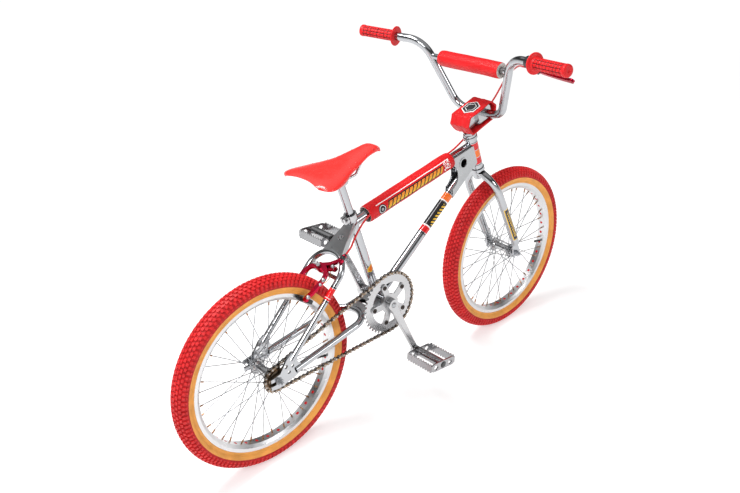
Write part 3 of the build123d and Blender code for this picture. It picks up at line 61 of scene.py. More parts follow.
# ---------------- places taken from the frame
def joint_place(name):
    """A joint's position and unit axis."""
    joint = joints[name]
    return Vector(joint["pos_m"]), Vector(joint["axis"]).normalized()


FRONT_AXLE, ACROSS = joint_place("front_wheel_spin")
REAR_AXLE = joint_place("rear_wheel_spin")[0]
CRANK_CENTER = joint_place("crank_spin")[0]
STEER_POINT, STEER_UP = joint_place("steering_turn")
STEM_FORWARD = Vector((STEER_UP.z, 0, -STEER_UP.x))
BRAKE_PIVOT, BRAKE_OUT = joint_place("brake_arm_left_close")
BRAKE_DOWN = Vector((-BRAKE_OUT.z, 0, BRAKE_OUT.x))
STEM_CENTER = STEER_POINT + STEER_UP * 72.9 * MM
TOP_TUBE = (Vector((-141.7, 0, 549.4)) * MM, Vector((306, 0, 630.8)) * MM)
DOWN_TUBE = (Vector((-72, 0, 305)) * MM, Vector((316.5, 0, 592)) * MM)
SEAT_UP = Vector((-75.5, 0, 267)).normalized()
BAR_END = Vector((232.4, 352, 913.4)) * MM
BAR_UPPER = Vector((275, 152, 903)) * MM
WHEELS = {"front": FRONT_AXLE, "rear": REAR_AXLE}
FORWARD = Vector((1, 0, 0))
UP = Vector((0, 0, 1))
ORIGIN = Vector((0, 0, 0))


# ---------------- shader building blocks
class Value:
    """A number in a material that plain arithmetic works on."""

    def __init__(self, shader, socket):
        self.shader = shader
        self.socket = socket

    def math(self, operation, other=0.0):
        made = self.shader.node("ShaderNodeMath", operation=operation)
        self.shader.put(made.inputs[0], self)
        self.shader.put(made.inputs[1], other)
        return Value(self.shader, made.outputs[0])

    def between(self, low, high):
        """1 where low < value < high, else 0."""
        return (self > low) * (self < high)

    def flipped(self):
        """1 minus the value."""
        return self * -1.0 + 1.0

    def __abs__(self):
        return self.math("ABSOLUTE")


OPERATORS = {"__add__": "ADD", "__sub__": "SUBTRACT", "__mul__": "MULTIPLY", "__truediv__": "DIVIDE",
             "__pow__": "POWER", "__gt__": "GREATER_THAN", "__lt__": "LESS_THAN"}
for method, operation in OPERATORS.items():
    setattr(Value, method, lambda self, other, operation=operation: self.math(operation, other))


class Shader:
    """One material under construction, with short names for the nodes it uses."""

    def __init__(self, name, metallic=0.0, roughness=0.5, **sockets):
        self.material = bpy.data.materials.new(name)
        self.material.use_nodes = True
        self.tree = self.material.node_tree
        self.surface = self.tree.nodes["Principled BSDF"]
        self.surface.inputs["Metallic"].default_value = metallic
        self.surface.inputs["Roughness"].default_value = roughness
        for socket, value in sockets.items():
            self.surface.inputs[socket.replace("_", " ")].default_value = value
        self.place = self.node("ShaderNodeTexCoord").outputs["Object"]

    def node(self, kind, **settings):
        made = self.tree.nodes.new(kind)
        for key, value in settings.items():
            setattr(made, key, value)
        return made

    def put(self, socket, value):
        """Link an output, or set a plain value."""
        if isinstance(value, Value):
            value = value.socket
        if isinstance(value, bpy.types.NodeSocket):
            self.tree.links.new(value, socket)
        elif isinstance(value, Vector):
            socket.default_value = tuple(value)
        else:
            socket.default_value = value

    def vector_math(self, operation, a, b):
        made = self.node("ShaderNodeVectorMath", operation=operation)
        self.put(made.inputs[0], a)
        self.put(made.inputs[1], b)
        return made

    def dot(self, a, b):
        return Value(self, self.vector_math("DOT_PRODUCT", a, b).outputs["Value"])

    def offset(self, origin):
        """The surface point as seen from origin."""
        return self.vector_math("SUBTRACT", self.place, origin).outputs[0]

    def along(self, origin, direction):
        """The distance of the surface point from origin, along a direction, in metres."""
        return self.dot(self.offset(origin), direction)

    def reach(self, center, first, second):
        """The distance from a line through center that is square to two directions, in metres."""
        return (self.along(center, first) ** 2.0 + self.along(center, second) ** 2.0).math("SQRT")

    def noise(self, scale, detail=3.0, stretch=None):
        made = self.node("ShaderNodeTexNoise")
        place = self.place
        if stretch:
            place = self.vector_math("MULTIPLY", place, Vector(stretch)).outputs[0]
        self.put(made.inputs["Vector"], place)
        made.inputs["Scale"].default_value = scale
        made.inputs["Detail"].default_value = detail
        return Value(self, made.outputs["Fac"])

    def spread(self, value, low, high):
        """The middle of a 0 to 1 value, from 0.3 to 0.7, stretched between two numbers."""
        made = self.node("ShaderNodeMapRange")
        self.put(made.inputs["Value"], value)
        made.inputs["From Min"].default_value = 0.3
        made.inputs["From Max"].default_value = 0.7
        made.inputs["To Min"].default_value = low
        made.inputs["To Max"].default_value = high
        return made.outputs["Result"]

    def mix(self, factor, a, b):
        """Colour a where factor is 0 and colour b where it is 1."""
        made = self.node("ShaderNodeMix", data_type="RGBA")
        self.put(made.inputs["Factor"], factor)
        self.put(made.inputs["A"], a)
        self.put(made.inputs["B"], b)
        return made.outputs["Result"]

    def base(self):
        """The colour the surface has so far."""
        return self.surface.inputs["Base Color"].links[0].from_socket

    def cover(self, *layers):
        """Paint colours over the surface, each where its mask is 1."""
        for mask, colour in layers:
            self.colour(self.mix(mask, self.base(), colour))

    def colour(self, value):
        self.put(self.surface.inputs["Base Color"], value)

    def cloud(self, base, factor, amount, scale, detail):
        """Colour the surface with a base and darker clouds of it."""
        self.colour(self.mix(self.spread(self.noise(scale, detail), 0.0, amount), base, shade(base, factor)))

    def rough(self, low, high, scale, detail):
        """Let the roughness wander between two numbers."""
        self.put(self.surface.inputs["Roughness"], self.spread(self.noise(scale, detail), low, high))

    def metal(self, value):
        self.put(self.surface.inputs["Metallic"], value)

    def bump(self, height, distance, strength=1.0):
        made = self.node("ShaderNodeBump")
        made.inputs["Strength"].default_value = strength
        made.inputs["Distance"].default_value = distance
        self.put(made.inputs["Height"], height)
        normal = self.surface.inputs["Normal"]
        if normal.is_linked:
            self.put(made.inputs["Normal"], normal.links[0].from_socket)
        self.put(normal, made.outputs["Normal"])


def rgb(red, green, blue):
    return (red, green, blue, 1.0)


def shade(colour, factor, lift=0.0):
    """A colour with its channels scaled and lifted."""
    return rgb(*(min(1.0, channel * factor + lift) for channel in colour[:3]))


RED = rgb(0.66, 0.009, 0.012)
DEEP_RED = rgb(0.46, 0.008, 0.012)
SADDLE_RED = rgb(0.92, 0.035, 0.03)
TYRE_RED = rgb(0.64, 0.020, 0.022)
ORANGE = rgb(0.86, 0.17, 0.02)
YELLOW = rgb(0.82, 0.50, 0.03)
BLACK = rgb(0.012, 0.012, 0.014)
WHITE = rgb(0.85, 0.85, 0.84)
CHROME = rgb(0.47, 0.48, 0.50)
NAVY = rgb(0.012, 0.02, 0.05)
CRIMSON = rgb(0.50, 0.012, 0.045)


def metal_shader(name, base, roughness, dull=0.86, grain=0.00002, stretch=None):
    """Polished or brushed metal with faint smears, pits and a little grime."""
    shader = Shader(name, metallic=1.0, roughness=roughness)
    shader.cloud(base, dull, 0.6, 14.0, 5.0)
    shader.rough(roughness * 0.85, roughness * 1.2, 45.0, 4.0)
    shader.bump(shader.noise(900.0, 2.0, stretch), grain)
    return shader


def plain_metal(name, base, roughness, **more):
    return metal_shader(name, base, roughness, **more).material


def banded_chrome(name, origin, direction, bands):
    """Chrome with painted bands. Each band has a start and an end along the axis, and a colour."""
    shader = metal_shader(name, CHROME, 0.12)
    painted = None
    for start, end, paint_colour in bands:
        inside = shader.along(origin, direction).between(start * MM, end * MM)
        shader.cover((inside, paint_colour))
        painted = painted.math("MAXIMUM", inside) if painted else inside
    shader.metal(painted.flipped())
    return shader


def rubber(name, base, roughness=0.55, grain=420.0):
    """Moulded rubber with a fine pebble and worn, dusty patches."""
    shader = Shader(name, roughness=roughness, Specular_IOR_Level=0.28)
    patches = shader.spread(shader.noise(35.0, 6.0), 0.0, 1.0)
    worn = shader.mix(patches, shade(base, 0.68), shade(base, 1.12, 0.004))
    shader.colour(shader.mix(0.55, base, worn))
    shader.rough(roughness * 0.8, roughness * 1.2, 90.0, 4.0)
    shader.bump(shader.noise(grain, 3.0), 0.00025)
    return shader


def plastic(name, base, roughness=0.22):
    """Glossy moulded plastic with an orange-peel skin and light scuffs."""
    shader = Shader(name, roughness=roughness, Coat_Weight=0.2, Coat_Roughness=0.12)
    shader.cloud(base, 0.8, 0.6, 22.0, 4.0)
    shader.rough(roughness * 0.7, roughness * 1.5, 70.0, 5.0)
    shader.bump(shader.noise(260.0, 2.0), 0.00012)
    return shader.material


def weave(shader, origin, direction, pitch=0.0011):
    """The bump of a plain weave, running along and across a direction."""
    warp, weft, cross = [(shader.along(origin, way) * (2 * math.pi / pitch)).math("SINE")
                         for way in (direction, direction.cross(ACROSS), ACROSS)]
    shader.bump(warp * (weft + cross), 0.00006)
    shader.bump(shader.noise(38.0, 2.0), 0.0005)


def nylon(name, origin, direction, base=RED):
    """Coated nylon cloth over foam, with a soft sheen."""
    shader = Shader(name, roughness=0.4, Specular_IOR_Level=0.25)
    shader.cloud(base, 0.74, 0.7, 28.0, 5.0)
    shader.rough(0.30, 0.46, 120.0, 4.0)
    weave(shader, origin, direction)
    return shader


def foam(name, base):
    """Open-cell foam, with painted shade in the pits of its cells."""
    shader = Shader(name, roughness=0.9)
    cells = shader.node("ShaderNodeTexVoronoi")
    shader.put(cells.inputs["Vector"], shader.place)
    cells.inputs["Scale"].default_value = 700.0
    # Painted shade: each cell is darker towards its pit, the low point of the bump.
    shader.colour(shader.mix(cells.outputs["Distance"], shade(base, 0.6), base))
    shader.bump(cells.outputs["Distance"], 0.0008)
    return shader.material


# ---------------- mesh building blocks
def mesh_object(name, vertices, faces, materials, slots=None, smooth=True):
    """A mesh object from points and faces, with one material number per face."""
    mesh = bpy.data.meshes.new(name)
    mesh.from_pydata([tuple(vertex) for vertex in vertices], [], faces)
    for material in materials:
        mesh.materials.append(material)
    if slots:
        mesh.polygons.foreach_set("material_index", slots[:len(faces)])
    mesh.polygons.foreach_set("use_smooth", [smooth] * len(faces))
    mesh.update()
    clean = bmesh.new()
    clean.from_mesh(mesh)
    bmesh.ops.recalc_face_normals(clean, faces=clean.faces)
    clean.to_mesh(mesh)
    clean.free()
    made = bpy.data.objects.new(name, mesh)
    bpy.context.scene.collection.objects.link(made)
    return made


def grid_faces(rows, columns, loop=True, closed=False):
    """Quads between rows of points. loop joins the ends of each row, closed the last row to the first."""
    faces = []
    for row in range(rows if closed else rows - 1):
        below = row * columns
        above = (row + 1) % rows * columns
        for step in range(columns if loop else columns - 1):
            after = (step + 1) % columns
            faces.append((below + step, below + after, above + after, above + step))
    return faces


def gather(shapes):
    """Several shapes, each of points and faces, as one."""
    vertices = []
    faces = []
    for points, shape_faces in shapes:
        start = len(vertices)
        vertices.extend(points)
        faces.extend(tuple(start + index for index in face) for face in shape_faces)
    return vertices, faces


def in_mm(pairs):
    return [(first * MM, second * MM) for first, second in pairs]


def join(name, pieces):
    """Several mesh objects as one, with their material slots kept."""
    bpy.ops.object.select_all(action="DESELECT")
    for piece in pieces:
        piece.select_set(True)
    bpy.context.view_layer.objects.active = pieces[0]
    if len(pieces) > 1:
        bpy.ops.object.join()
    pieces[0].name = name
    return pieces[0]


def cross_axes(direction, hint=None):
    """Two unit vectors at right angles to a direction."""
    hint = hint or (UP if abs(direction.z) < 0.9 else FORWARD)
    first = (hint - direction * hint.dot(direction)).normalized()
    return first, direction.cross(first)


def lathe(name, origin, direction, profile, materials, steps=64, relief=None, slots=None, closed=False):
    """A surface turned about an axis. profile holds (distance along, radius); relief adds to the radius."""
    direction = direction.normalized()
    first, second = cross_axes(direction)
    vertices = []
    for distance, radius in profile:
        for step in range(steps):
            angle = 2 * math.pi * step / steps
            reach = radius + (relief(distance, angle) if relief else 0.0)
            around = first * math.cos(angle) + second * math.sin(angle)
            vertices.append(origin + direction * distance + around * reach)
    faces = grid_faces(len(profile), steps, closed=closed)
    face_slots = [slot for slot in slots for _ in range(steps)] if slots else None
    return mesh_object(name, vertices, faces, materials, face_slots)


def box_corners(center, along, across, normal, length, width, height, taper):
    """The eight corners of a tapered block that stands on center."""
    corners = []
    for lift, shrink in ((0.0, 1.0), (height, taper)):
        for a, b in ((-1, -1), (1, -1), (1, 1), (-1, 1)):
            corners.append(center + along * (a * length / 2 * shrink) + across * (b * width / 2 * shrink)
                           + normal * lift)
    return corners


BLOCK_FACES = [(4, 5, 6, 7), (0, 1, 5, 4), (1, 2, 6, 5), (2, 3, 7, 6), (3, 0, 4, 7), (3, 2, 1, 0)]


def blocks(name, all_corners, material):
    """Many tapered blocks as one mesh."""
    vertices, faces = gather((corners, BLOCK_FACES) for corners in all_corners)
    return mesh_object(name, vertices, faces, [material], smooth=False)


def attach(piece, body, slot, *nodes):
    """The piece rides on a body and stands for these CAD nodes, which are hidden. The slot is not used."""
    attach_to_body(piece, body)
    if nodes:
        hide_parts(*nodes)
    return piece


def paint(material, *nodes):
    """Give CAD nodes a finished material."""
    for node in nodes:
        mesh = frame["nodes"][node].data
        mesh.materials.clear()
        mesh.materials.append(material)


# ---------------- metals on the CAD nodes
chrome = plain_metal("chrome", CHROME, 0.12)
silver = plain_metal("silver_alloy", rgb(0.52, 0.52, 0.53), 0.2)
satin = plain_metal("satin_alloy", rgb(0.50, 0.50, 0.51), 0.28)
plate_grey = plain_metal("gusset_plate", rgb(0.46, 0.47, 0.48), 0.3)
zinc = plain_metal("zinc_steel", rgb(0.50, 0.51, 0.53), 0.30)
dark_steel = plain_metal("dark_steel", rgb(0.06, 0.05, 0.045), 0.35)
bronze = plain_metal("bronze_chain", rgb(0.27, 0.20, 0.14), 0.26)
brass = plain_metal("brass", rgb(0.72, 0.45, 0.14), 0.28)
crimson_metal = plain_metal("crimson_anodised", CRIMSON, 0.26)
black_plastic = plastic("black_plastic", BLACK, 0.35)

paint(chrome, "bottom_bracket_shell", "top_tube", "chain_stay_loop", "dropouts", "handlebar", "seat_post",
      "headset_cups", "headset_nuts")
pedal_alloy = plain_metal("pedal_alloy", rgb(0.36, 0.36, 0.37), 0.24, grain=0.00004)
paint(silver, "stem", "stem_clamp", "chainring", "crank_arm_right", "crank_arm_left", "seat_clamp",
      "front_hub", "rear_hub")
paint(pedal_alloy, "pedal_left", "pedal_right")
paint(satin, "chainring_spider", "saddle_clamp")
paint(plate_grey, "head_gusset", "chain_stay_yoke", "seat_stay_yoke")
paint(zinc, "front_axle", "rear_axle", "brake_pivot_bolt", "stem_bolts", "crank_axle",
      "saddle_rails", "front_bearings", "rear_bearings", "bottom_bracket_bearings")
paint(dark_steel, "chainring_bolts", "pedal_spindles")
paint(bronze, "freewheel_cog", "freewheel_body")
paint(crimson_metal, "brake_lever")
paint(black_plastic, "brake_lever_perch")


def rim_material(name):
    """Polished rim with a faintly brushed brake track."""
    return metal_shader(name, rgb(0.66, 0.66, 0.67), 0.3, grain=0.00004, stretch=(1.0, 30.0, 1.0)).material


NIPPLE_START = 180.3 * MM
NIPPLE_BROWN = rgb(0.34, 0.16, 0.07)


def spoke_material(name, center):
    """Stainless spokes that end in brass nipples near the rim."""
    shader = metal_shader(name, rgb(0.30, 0.31, 0.33), 0.2)
    shader.cover((shader.reach(center, FORWARD, UP) > NIPPLE_START, NIPPLE_BROWN))
    return shader.material


for wheel, center in WHEELS.items():
    paint(rim_material(wheel + "_rim_metal"), wheel + "_rim")
    paint(spoke_material(wheel + "_spoke_metal", center), wheel + "_spokes")


SHOE_TOP = 70 * MM
SHOE_BACK = 27.45 * MM


def shoe_and_arm(name):
    """Crimson caliper arm whose shoe block is black rubber and whose stud is steel."""
    shader = metal_shader(name, CRIMSON, 0.24)
    sideways = abs(shader.along(ORIGIN, ACROSS))
    low_down = shader.along(BRAKE_PIVOT, BRAKE_DOWN) > SHOE_TOP
    block = low_down * (sideways < SHOE_BACK)
    stud = low_down * sideways.between(SHOE_BACK, 30.5 * MM)
    shader.cover((block, BLACK), (stud, rgb(0.6, 0.6, 0.62)))
    shader.metal(block.flipped())
    return shader.material


paint(shoe_and_arm("caliper_arm"), "brake_arm_left", "brake_arm_right")

# ---------------- painted bands on the tubes
down_direction = (DOWN_TUBE[1] - DOWN_TUBE[0]).normalized()
steer_down = STEER_UP * -1
seat_stay_rear = Vector((-410, 0, 296)) * MM
stay_direction = Vector((203, 0, 194)).normalized()
fork_top = Vector((345, 0, 510)) * MM
fork_direction = (Vector((438, 0, 297)) * MM - fork_top).normalized()


def down_tube_material():
    """A black panel of slanted yellow bars between an orange and a red band, with thin rings."""
    start = DOWN_TUBE[0]
    shader = banded_chrome("down_tube_finish", start, down_direction, [
        (212, 215, BLACK), (218, 236, RED), (236, 240, WHITE), (240, 322, BLACK), (322, 326, WHITE),
        (326, 348, ORANGE), (351, 354, BLACK),
    ])
    along = shader.along(start, down_direction)
    height = shader.along(start, down_direction.cross(ACROSS))
    step = ((along + height * 0.6) / (10.5 * MM)).math("FRACT")
    panel = along.between(246 * MM, 316 * MM) * height.between(-6.5 * MM, 6.5 * MM)
    shader.cover((step.between(0.2, 0.72) * panel, YELLOW))
    return shader.material


def head_tube_material():
    """Three painted squares down the side of the head tube."""
    return banded_chrome("head_tube_finish", STEER_POINT, steer_down, [
        (-10, -8, BLACK), (-6, 15, RED), (17, 39, ORANGE), (41, 62, RED), (64, 66, BLACK),
    ]).material


def fork_material():
    """A dark panel with a yellow edge and bars on the outer side of each leg."""
    shader = metal_shader("fork_finish", CHROME, 0.12)
    along = shader.along(fork_top, fork_direction)
    across = shader.along(fork_top, fork_direction.cross(ACROSS))
    outside = abs(shader.along(ORIGIN, ACROSS)) > 58 * MM
    step = ((along + across) / (9 * MM)).math("FRACT")

    def panel(start, end, half):
        return outside * along.between(start * MM, end * MM) * across.between(-half * MM, half * MM)

    edge = panel(88, 212, 9.5)
    shader.cover((edge, YELLOW), (panel(90.5, 209.5, 7.6), NAVY),
                 (panel(99, 201, 4.6) * step.between(0.25, 0.7), YELLOW))
    shader.metal(edge.flipped())
    return shader.material


def seat_stay_material():
    """A red band with thin white and black lines high on each stay."""
    return banded_chrome("seat_stay_finish", seat_stay_rear, stay_direction, [
        (163, 166, BLACK), (168, 173, RED), (173, 174.5, WHITE), (174.5, 200, RED), (202, 205, BLACK),
    ]).material


def seat_tube_material():
    """A small oval and a thin outlined strip on the front right of the seat tube."""
    shader = metal_shader("seat_tube_finish", CHROME, 0.12)
    middle = CRANK_CENTER + SEAT_UP * 0.14
    along = shader.along(CRANK_CENTER, SEAT_UP)
    front = shader.along(middle, Vector((0.62, -0.78, 0)).normalized()) > 7.0 * MM
    side = abs(shader.along(middle, Vector((0.78, 0.62, 0))))
    oval = ((along - 108 * MM) / (11 * MM)) ** 2.0 + (side / (6.5 * MM)) ** 2.0
    blob = front * (oval < 1.0)
    strip = along.between(132 * MM, 206 * MM) * side.between(4.4 * MM, 5.6 * MM) * front
    shader.cover((strip, RED), (blob, YELLOW), (front * (oval < 0.55), ORANGE))
    shader.metal(blob.math("MAXIMUM", strip).flipped())
    return shader.material


paint(down_tube_material(), "down_tube")
paint(head_tube_material(), "head_tube")
paint(fork_material(), "fork")
paint(seat_stay_material(), "seat_stay_loop")
paint(seat_tube_material(), "seat_tube")

# ---------------- tyres
TYRE_CENTER = 231 * MM
CARCASS = 21.8 * MM
KNOB_PITCH = 13.4 * MM
KNOB_ROOT = 0.6 * MM
KNOB_TAPER = 0.84
TYRE_OUTER = 256 * MM
# angle from the crown, width across, length round the wheel, height, offset in pitches
KNOB_ROWS = [
    (9, 6.4, 8.6, 3.2, 0.0), (27, 6.8, 8.6, 3.2, 0.5), (45, 7.0, 8.4, 3.1, 0.1), (65, 8.6, 7.4, 2.8, 0.5),
    (83, 5.6, 6.4, 1.8, 0.5),
]
RING_PITCH = 1.6 * MM
LIP = 134                       # degrees from the crown to the bead
TREAD_END = 103                 # degrees from the crown to where the tan starts
CARCASS_WIDE = CARCASS * 1.08


def sidewall_material(name, center):
    """Tan sidewall with fine moulded rings."""
    shader = rubber(name, rgb(0.86, 0.37, 0.075), 0.45, 700.0)
    rings = shader.reach(center, FORWARD, UP) * (2 * math.pi / RING_PITCH)
    shader.bump(rings.math("SINE"), 0.00015)
    return shader.material


def tyre(wheel, center):
    """Carcass with bead and sidewalls, and five staggered rows of knobs on each side, with painted shade on
    the carcass between the knobs.
    """
    tread_red = rubber(wheel + "_tread_rubber", TYRE_RED, 0.5).material
    # Painted shade: the carcass between the knobs is a darker red than the knobs.
    shaded_base_red = rubber(wheel + "_tread_base_shaded", rgb(0.46, 0.010, 0.013), 0.6).material
    tan = sidewall_material(wheel + "_sidewall", center)
    profile = []
    slots = []
    bead = in_mm([(-16.0, 208.6), (-17.2, 209.6), (-17.6, 211.6)])
    for step in range(49):
        angle = math.radians(LIP * (step / 24 - 1))
        profile.append((CARCASS_WIDE * math.sin(angle), TYRE_CENTER + CARCASS * math.cos(angle)))
        slots.append(1 if abs(LIP * ((step + 0.5) / 24 - 1)) > TREAD_END else 0)
    profile = bead + profile + [(-side, height) for side, height in reversed(bead)]
    slots = [1] * 3 + slots + [1] * 3
    inside = [(side * 0.8, 212 * MM + (height - 208 * MM) * 0.75) for side, height in reversed(profile)]
    skin = lathe(wheel + "_carcass", center, ACROSS, profile + inside, [shaded_base_red, tan], 160,
                 slots=slots + [1] * len(inside), closed=True)
    count = int(round(2 * math.pi * TYRE_OUTER / KNOB_PITCH))
    knobs = []
    for angle, width, length, height, offset in KNOB_ROWS:
        for side in (1, -1):
            tilt = math.radians(angle) * side
            for index in range(count):
                turn = 2 * math.pi * (index + offset + (0.25 if side > 0 else 0.0)) / count
                radial = Vector((math.cos(turn), 0, math.sin(turn)))
                along = Vector((-math.sin(turn), 0, math.cos(turn)))
                normal = (radial * math.cos(tilt) + ACROSS * math.sin(tilt)).normalized()
                foot = (center + radial * (TYRE_CENTER + (CARCASS - KNOB_ROOT) * math.cos(tilt))
                        + ACROSS * ((CARCASS_WIDE - KNOB_ROOT) * math.sin(tilt)))
                knobs.append(box_corners(foot, along, normal.cross(along), normal, length * MM, width * MM,
                                         height * MM + KNOB_ROOT, KNOB_TAPER))
    tread = blocks(wheel + "_knobs", knobs, tread_red)
    return join(wheel + "_tyre_moulded", [skin, tread])


for wheel, center in WHEELS.items():
    attach(tyre(wheel, center), wheel + "_wheel", "red_tyre", wheel + "_tyre")

# ---------------- rim strip and spoke heads
RIM_INNER = 192 * MM
SPOKES = 36
rim_strip = rubber("rim_strip_rubber", rgb(0.62, 0.01, 0.012), 0.45).material


def disc(center, normal, radius, rise, steps=14):
    """The points and faces of a shallow domed disc."""
    first, second = cross_axes(normal)
    points = [center + normal * rise]
    for ring_radius, ring_rise in ((radius * 0.6, rise * 0.85), (radius, 0.0), (radius, -rise * 2)):
        for step in range(steps):
            angle = 2 * math.pi * step / steps
            around = first * math.cos(angle) + second * math.sin(angle)
            points.append(center + around * ring_radius + normal * ring_rise)
    faces = [(0, 1 + step, 1 + (step + 1) % steps) for step in range(steps)]
    faces += [tuple(1 + face[corner] for corner in (0, 3, 2, 1)) for face in grid_faces(3, steps)]
    return points, faces


def many_discs(name, places, radius, rise, material):
    """Domed discs at many places, as one mesh."""
    vertices, faces = gather(disc(center, normal, radius, rise) for center, normal in places)
    return mesh_object(name, vertices, faces, [material])


for wheel, center in WHEELS.items():
    windows = []
    for index in range(SPOKES):
        turn = 2 * math.pi * (index + 0.5) / SPOKES
        inward = Vector((-math.cos(turn), 0, -math.sin(turn)))
        windows.append((center - inward * RIM_INNER, inward))
    attach(many_discs(wheel + "_rim_strip", windows, 4.6 * MM, 0.5 * MM, rim_strip), wheel + "_wheel",
           "red_plastic")

FLANGES = {"front": (31.0, -31.0), "rear": (33.0, -24.0)}
for wheel, center in WHEELS.items():
    heads = []
    for index in range(SPOKES):
        side = 1 if index % 2 else -1
        leading = 1 if index % 4 < 2 else -1
        turn = math.radians(360 / SPOKES * index + leading * 60)
        flange = FLANGES[wheel][0 if side > 0 else 1]
        face = ACROSS * (side * leading)
        spot = center + Vector((math.cos(turn), 0, math.sin(turn))) * 18 * MM + ACROSS * flange * MM
        heads.append((spot - face * 1.5 * MM, face * -1))
        heads.append((spot + face * 3.6 * MM, face))
    attach(many_discs(wheel + "_spoke_heads", heads, 1.8 * MM, 0.8 * MM, zinc), wheel + "_wheel", "steel")


# ---------------- pads
def quilted(amount, seed):
    """A smooth bumpy relief that makes foam under cloth look soft."""
    source = random.Random(seed)
    waves = [(source.uniform(20, 90), source.randint(1, 4), source.uniform(0, 6.28), source.uniform(0.3, 1.0))
             for _ in range(9)]

    def relief(distance, angle):
        total = sum(weight * math.sin(wave * distance + turns * angle + phase)
                    for wave, turns, phase, weight in waves)
        return amount * total / 3

    return relief


def pad_profile(length, radius, bore, mouth=5 * MM, rows=40):
    """A stuffed tube: rolled mouths at both ends and a bore that opens inside them."""
    outer = []
    for row in range(rows + 1):
        distance = length * row / rows
        near_end = min(distance, length - distance)
        droop = max(0.0, 1 - near_end / (12 * MM))
        outer.append((distance, radius - 1.1 * MM * droop ** 2.2))
    rim = radius - 1.7 * MM
    front = [(length + 0.3 * MM, rim), (length - 0.2 * MM, bore + 0.3 * MM), (length - mouth, bore)]
    rear = [(mouth, bore), (0.2 * MM, bore + 0.3 * MM), (-0.3 * MM, rim)]
    return outer + front + rear, [0] * rows + [0, 1, 1, 1, 1, 1, 0]


def foam_pad(name, origin, direction, length, radius, bore, cloth, core, seed):
    """A cloth-covered foam tube with soft relief."""
    profile, slots = pad_profile(length, radius, bore)
    relief = quilted(0.55 * MM, seed)
    piece = lathe(name, origin, direction, profile, [cloth, core], 72,
                  relief=relief, slots=slots, closed=True)
    return piece


top_direction = (TOP_TUBE[1] - TOP_TUBE[0]).normalized()
PAD_LENGTH = 314 * MM
pad_start = TOP_TUBE[0] + top_direction * ((-98 + 141.7) * MM / top_direction.x)


def top_pad_material():
    """Red cloth with a white piping stripe, a row of slanted bars, a round badge and a speckled patch."""
    shader = nylon("top_pad_nylon", pad_start, top_direction)
    along = shader.along(pad_start, top_direction)
    height = shader.along(pad_start, top_direction.cross(ACROSS))
    slant = along - height * 0.6
    step = (slant / (15 * MM)).math("FRACT")
    badge = ((along - 40 * MM) ** 2.0 + (height - 1 * MM) ** 2.0).math("SQRT")

    def window(low, high):
        return height.between(low * MM, high * MM) * slant.between(57.5 * MM, 264.5 * MM)

    amber = shader.mix(shader.spread((height + 20 * MM) / (46 * MM), 0.0, 1.0), YELLOW, ORANGE)
    stripe = height.between(16.2 * MM, 17.8 * MM) * along.between(26 * MM, 296 * MM)
    speckle = shader.noise(260.0, 2.0) > 0.52
    patch = along.between(272 * MM, 296 * MM) * height.between(-8 * MM, 17 * MM) * speckle
    shader.cover((stripe, WHITE), (patch, WHITE), (window(-9.5, 12.5), BLACK),
                 (window(-7.0, 10.0) * step.between(0.14, 0.86), amber))
    shader.cover((badge < 13.0 * MM, BLACK), (badge < 10.5 * MM, WHITE), (badge < 8.8 * MM, BLACK),
                 (badge < 4.0 * MM, rgb(0.35, 0.35, 0.36)))
    return shader.material


white_foam = foam("white_foam", rgb(0.72, 0.66, 0.62))
top_pad = foam_pad("top_tube_pad_stuffed", pad_start, top_direction, PAD_LENGTH, 23.2 * MM, 19.4 * MM,
                   top_pad_material(), white_foam, 3)
attach(top_pad, "frame", "red_fabric", "top_tube_pad")

bar_pad_low, bar_pad_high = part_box("crossbar_pad")
bar_pad_start = Vector(((bar_pad_low[0] + bar_pad_high[0]) / 2, bar_pad_low[1],
                        (bar_pad_low[2] + bar_pad_high[2]) / 2))
bar_pad_length = bar_pad_high[1] - bar_pad_low[1]
bar_pad = foam_pad("crossbar_pad_stuffed", bar_pad_start, ACROSS, bar_pad_length, 21.2 * MM, 9.5 * MM,
                   nylon("bar_pad_nylon", bar_pad_start, ACROSS.copy()).material, white_foam, 7)
attach(bar_pad, "steering", "red_fabric", "crossbar_pad")


def stem_place(forward, up, left):
    """A point given in the stem's own frame, in millimetres."""
    return STEM_CENTER + (STEM_FORWARD * forward + STEER_UP * up + ACROSS * left) * MM


STEM_PAD_HALF = 33.0
STEM_PAD_THICKNESS = 6.0
STEM_PAD_OUTLINE = [(-32, 4), (-17, 27), (76, 27), (91, 6), (78, -28), (-20, -26)]


def rounded_loop(corners, radius, steps=6):
    """A closed loop round corners with each corner rounded off."""
    loop = []
    count = len(corners)
    for index in range(count):
        before = Vector(corners[index - 1])
        here = Vector(corners[index])
        after = Vector(corners[(index + 1) % count])
        start = here + (before - here).normalized() * radius
        end = here + (after - here).normalized() * radius
        for step in range(steps + 1):
            t = step / steps
            loop.append(start * (1 - t) ** 2 + here * 2 * t * (1 - t) + end * t ** 2)
        for step in range(1, 6):
            t = step / 6
            next_start = after + (here - after).normalized() * radius
            loop.append(end * (1 - t) + next_start * t)
    return loop


def stem_pad():
    """A padded band wrapped round the stem, open at both sides."""
    loop = rounded_loop(STEM_PAD_OUTLINE, 3.5)
    middle_point = Vector((29.0, 1.0))
    rows = []
    for step in range(33):
        t = step / 16 - 1
        rows.append((STEM_PAD_HALF * t, 0.9 * (1 - t ** 6)))
    vertices = []
    for left, swell in rows:
        for index, point in enumerate(loop):
            away = (point - middle_point).normalized()
            crease = 0.5 * math.sin(index * 0.55 + left * 0.22) + 0.35 * math.sin(index * 0.21 - left * 0.4)
            place = point + away * (swell - 1.0 + crease)
            edge = 1 + 0.02 * math.sin(index * 0.45)
            vertices.append(stem_place(place.x, place.y, left * edge))
    for left, swell in reversed(rows):
        for point in loop:
            away = (point - middle_point).normalized()
            place = point - away * (STEM_PAD_THICKNESS - swell * 0.3)
            vertices.append(stem_place(place.x, place.y, left * 0.97))
    faces = grid_faces(2 * len(rows), len(loop), closed=True)
    return mesh_object("stem_pad_stuffed", vertices, faces, [stem_pad_cloth.material])


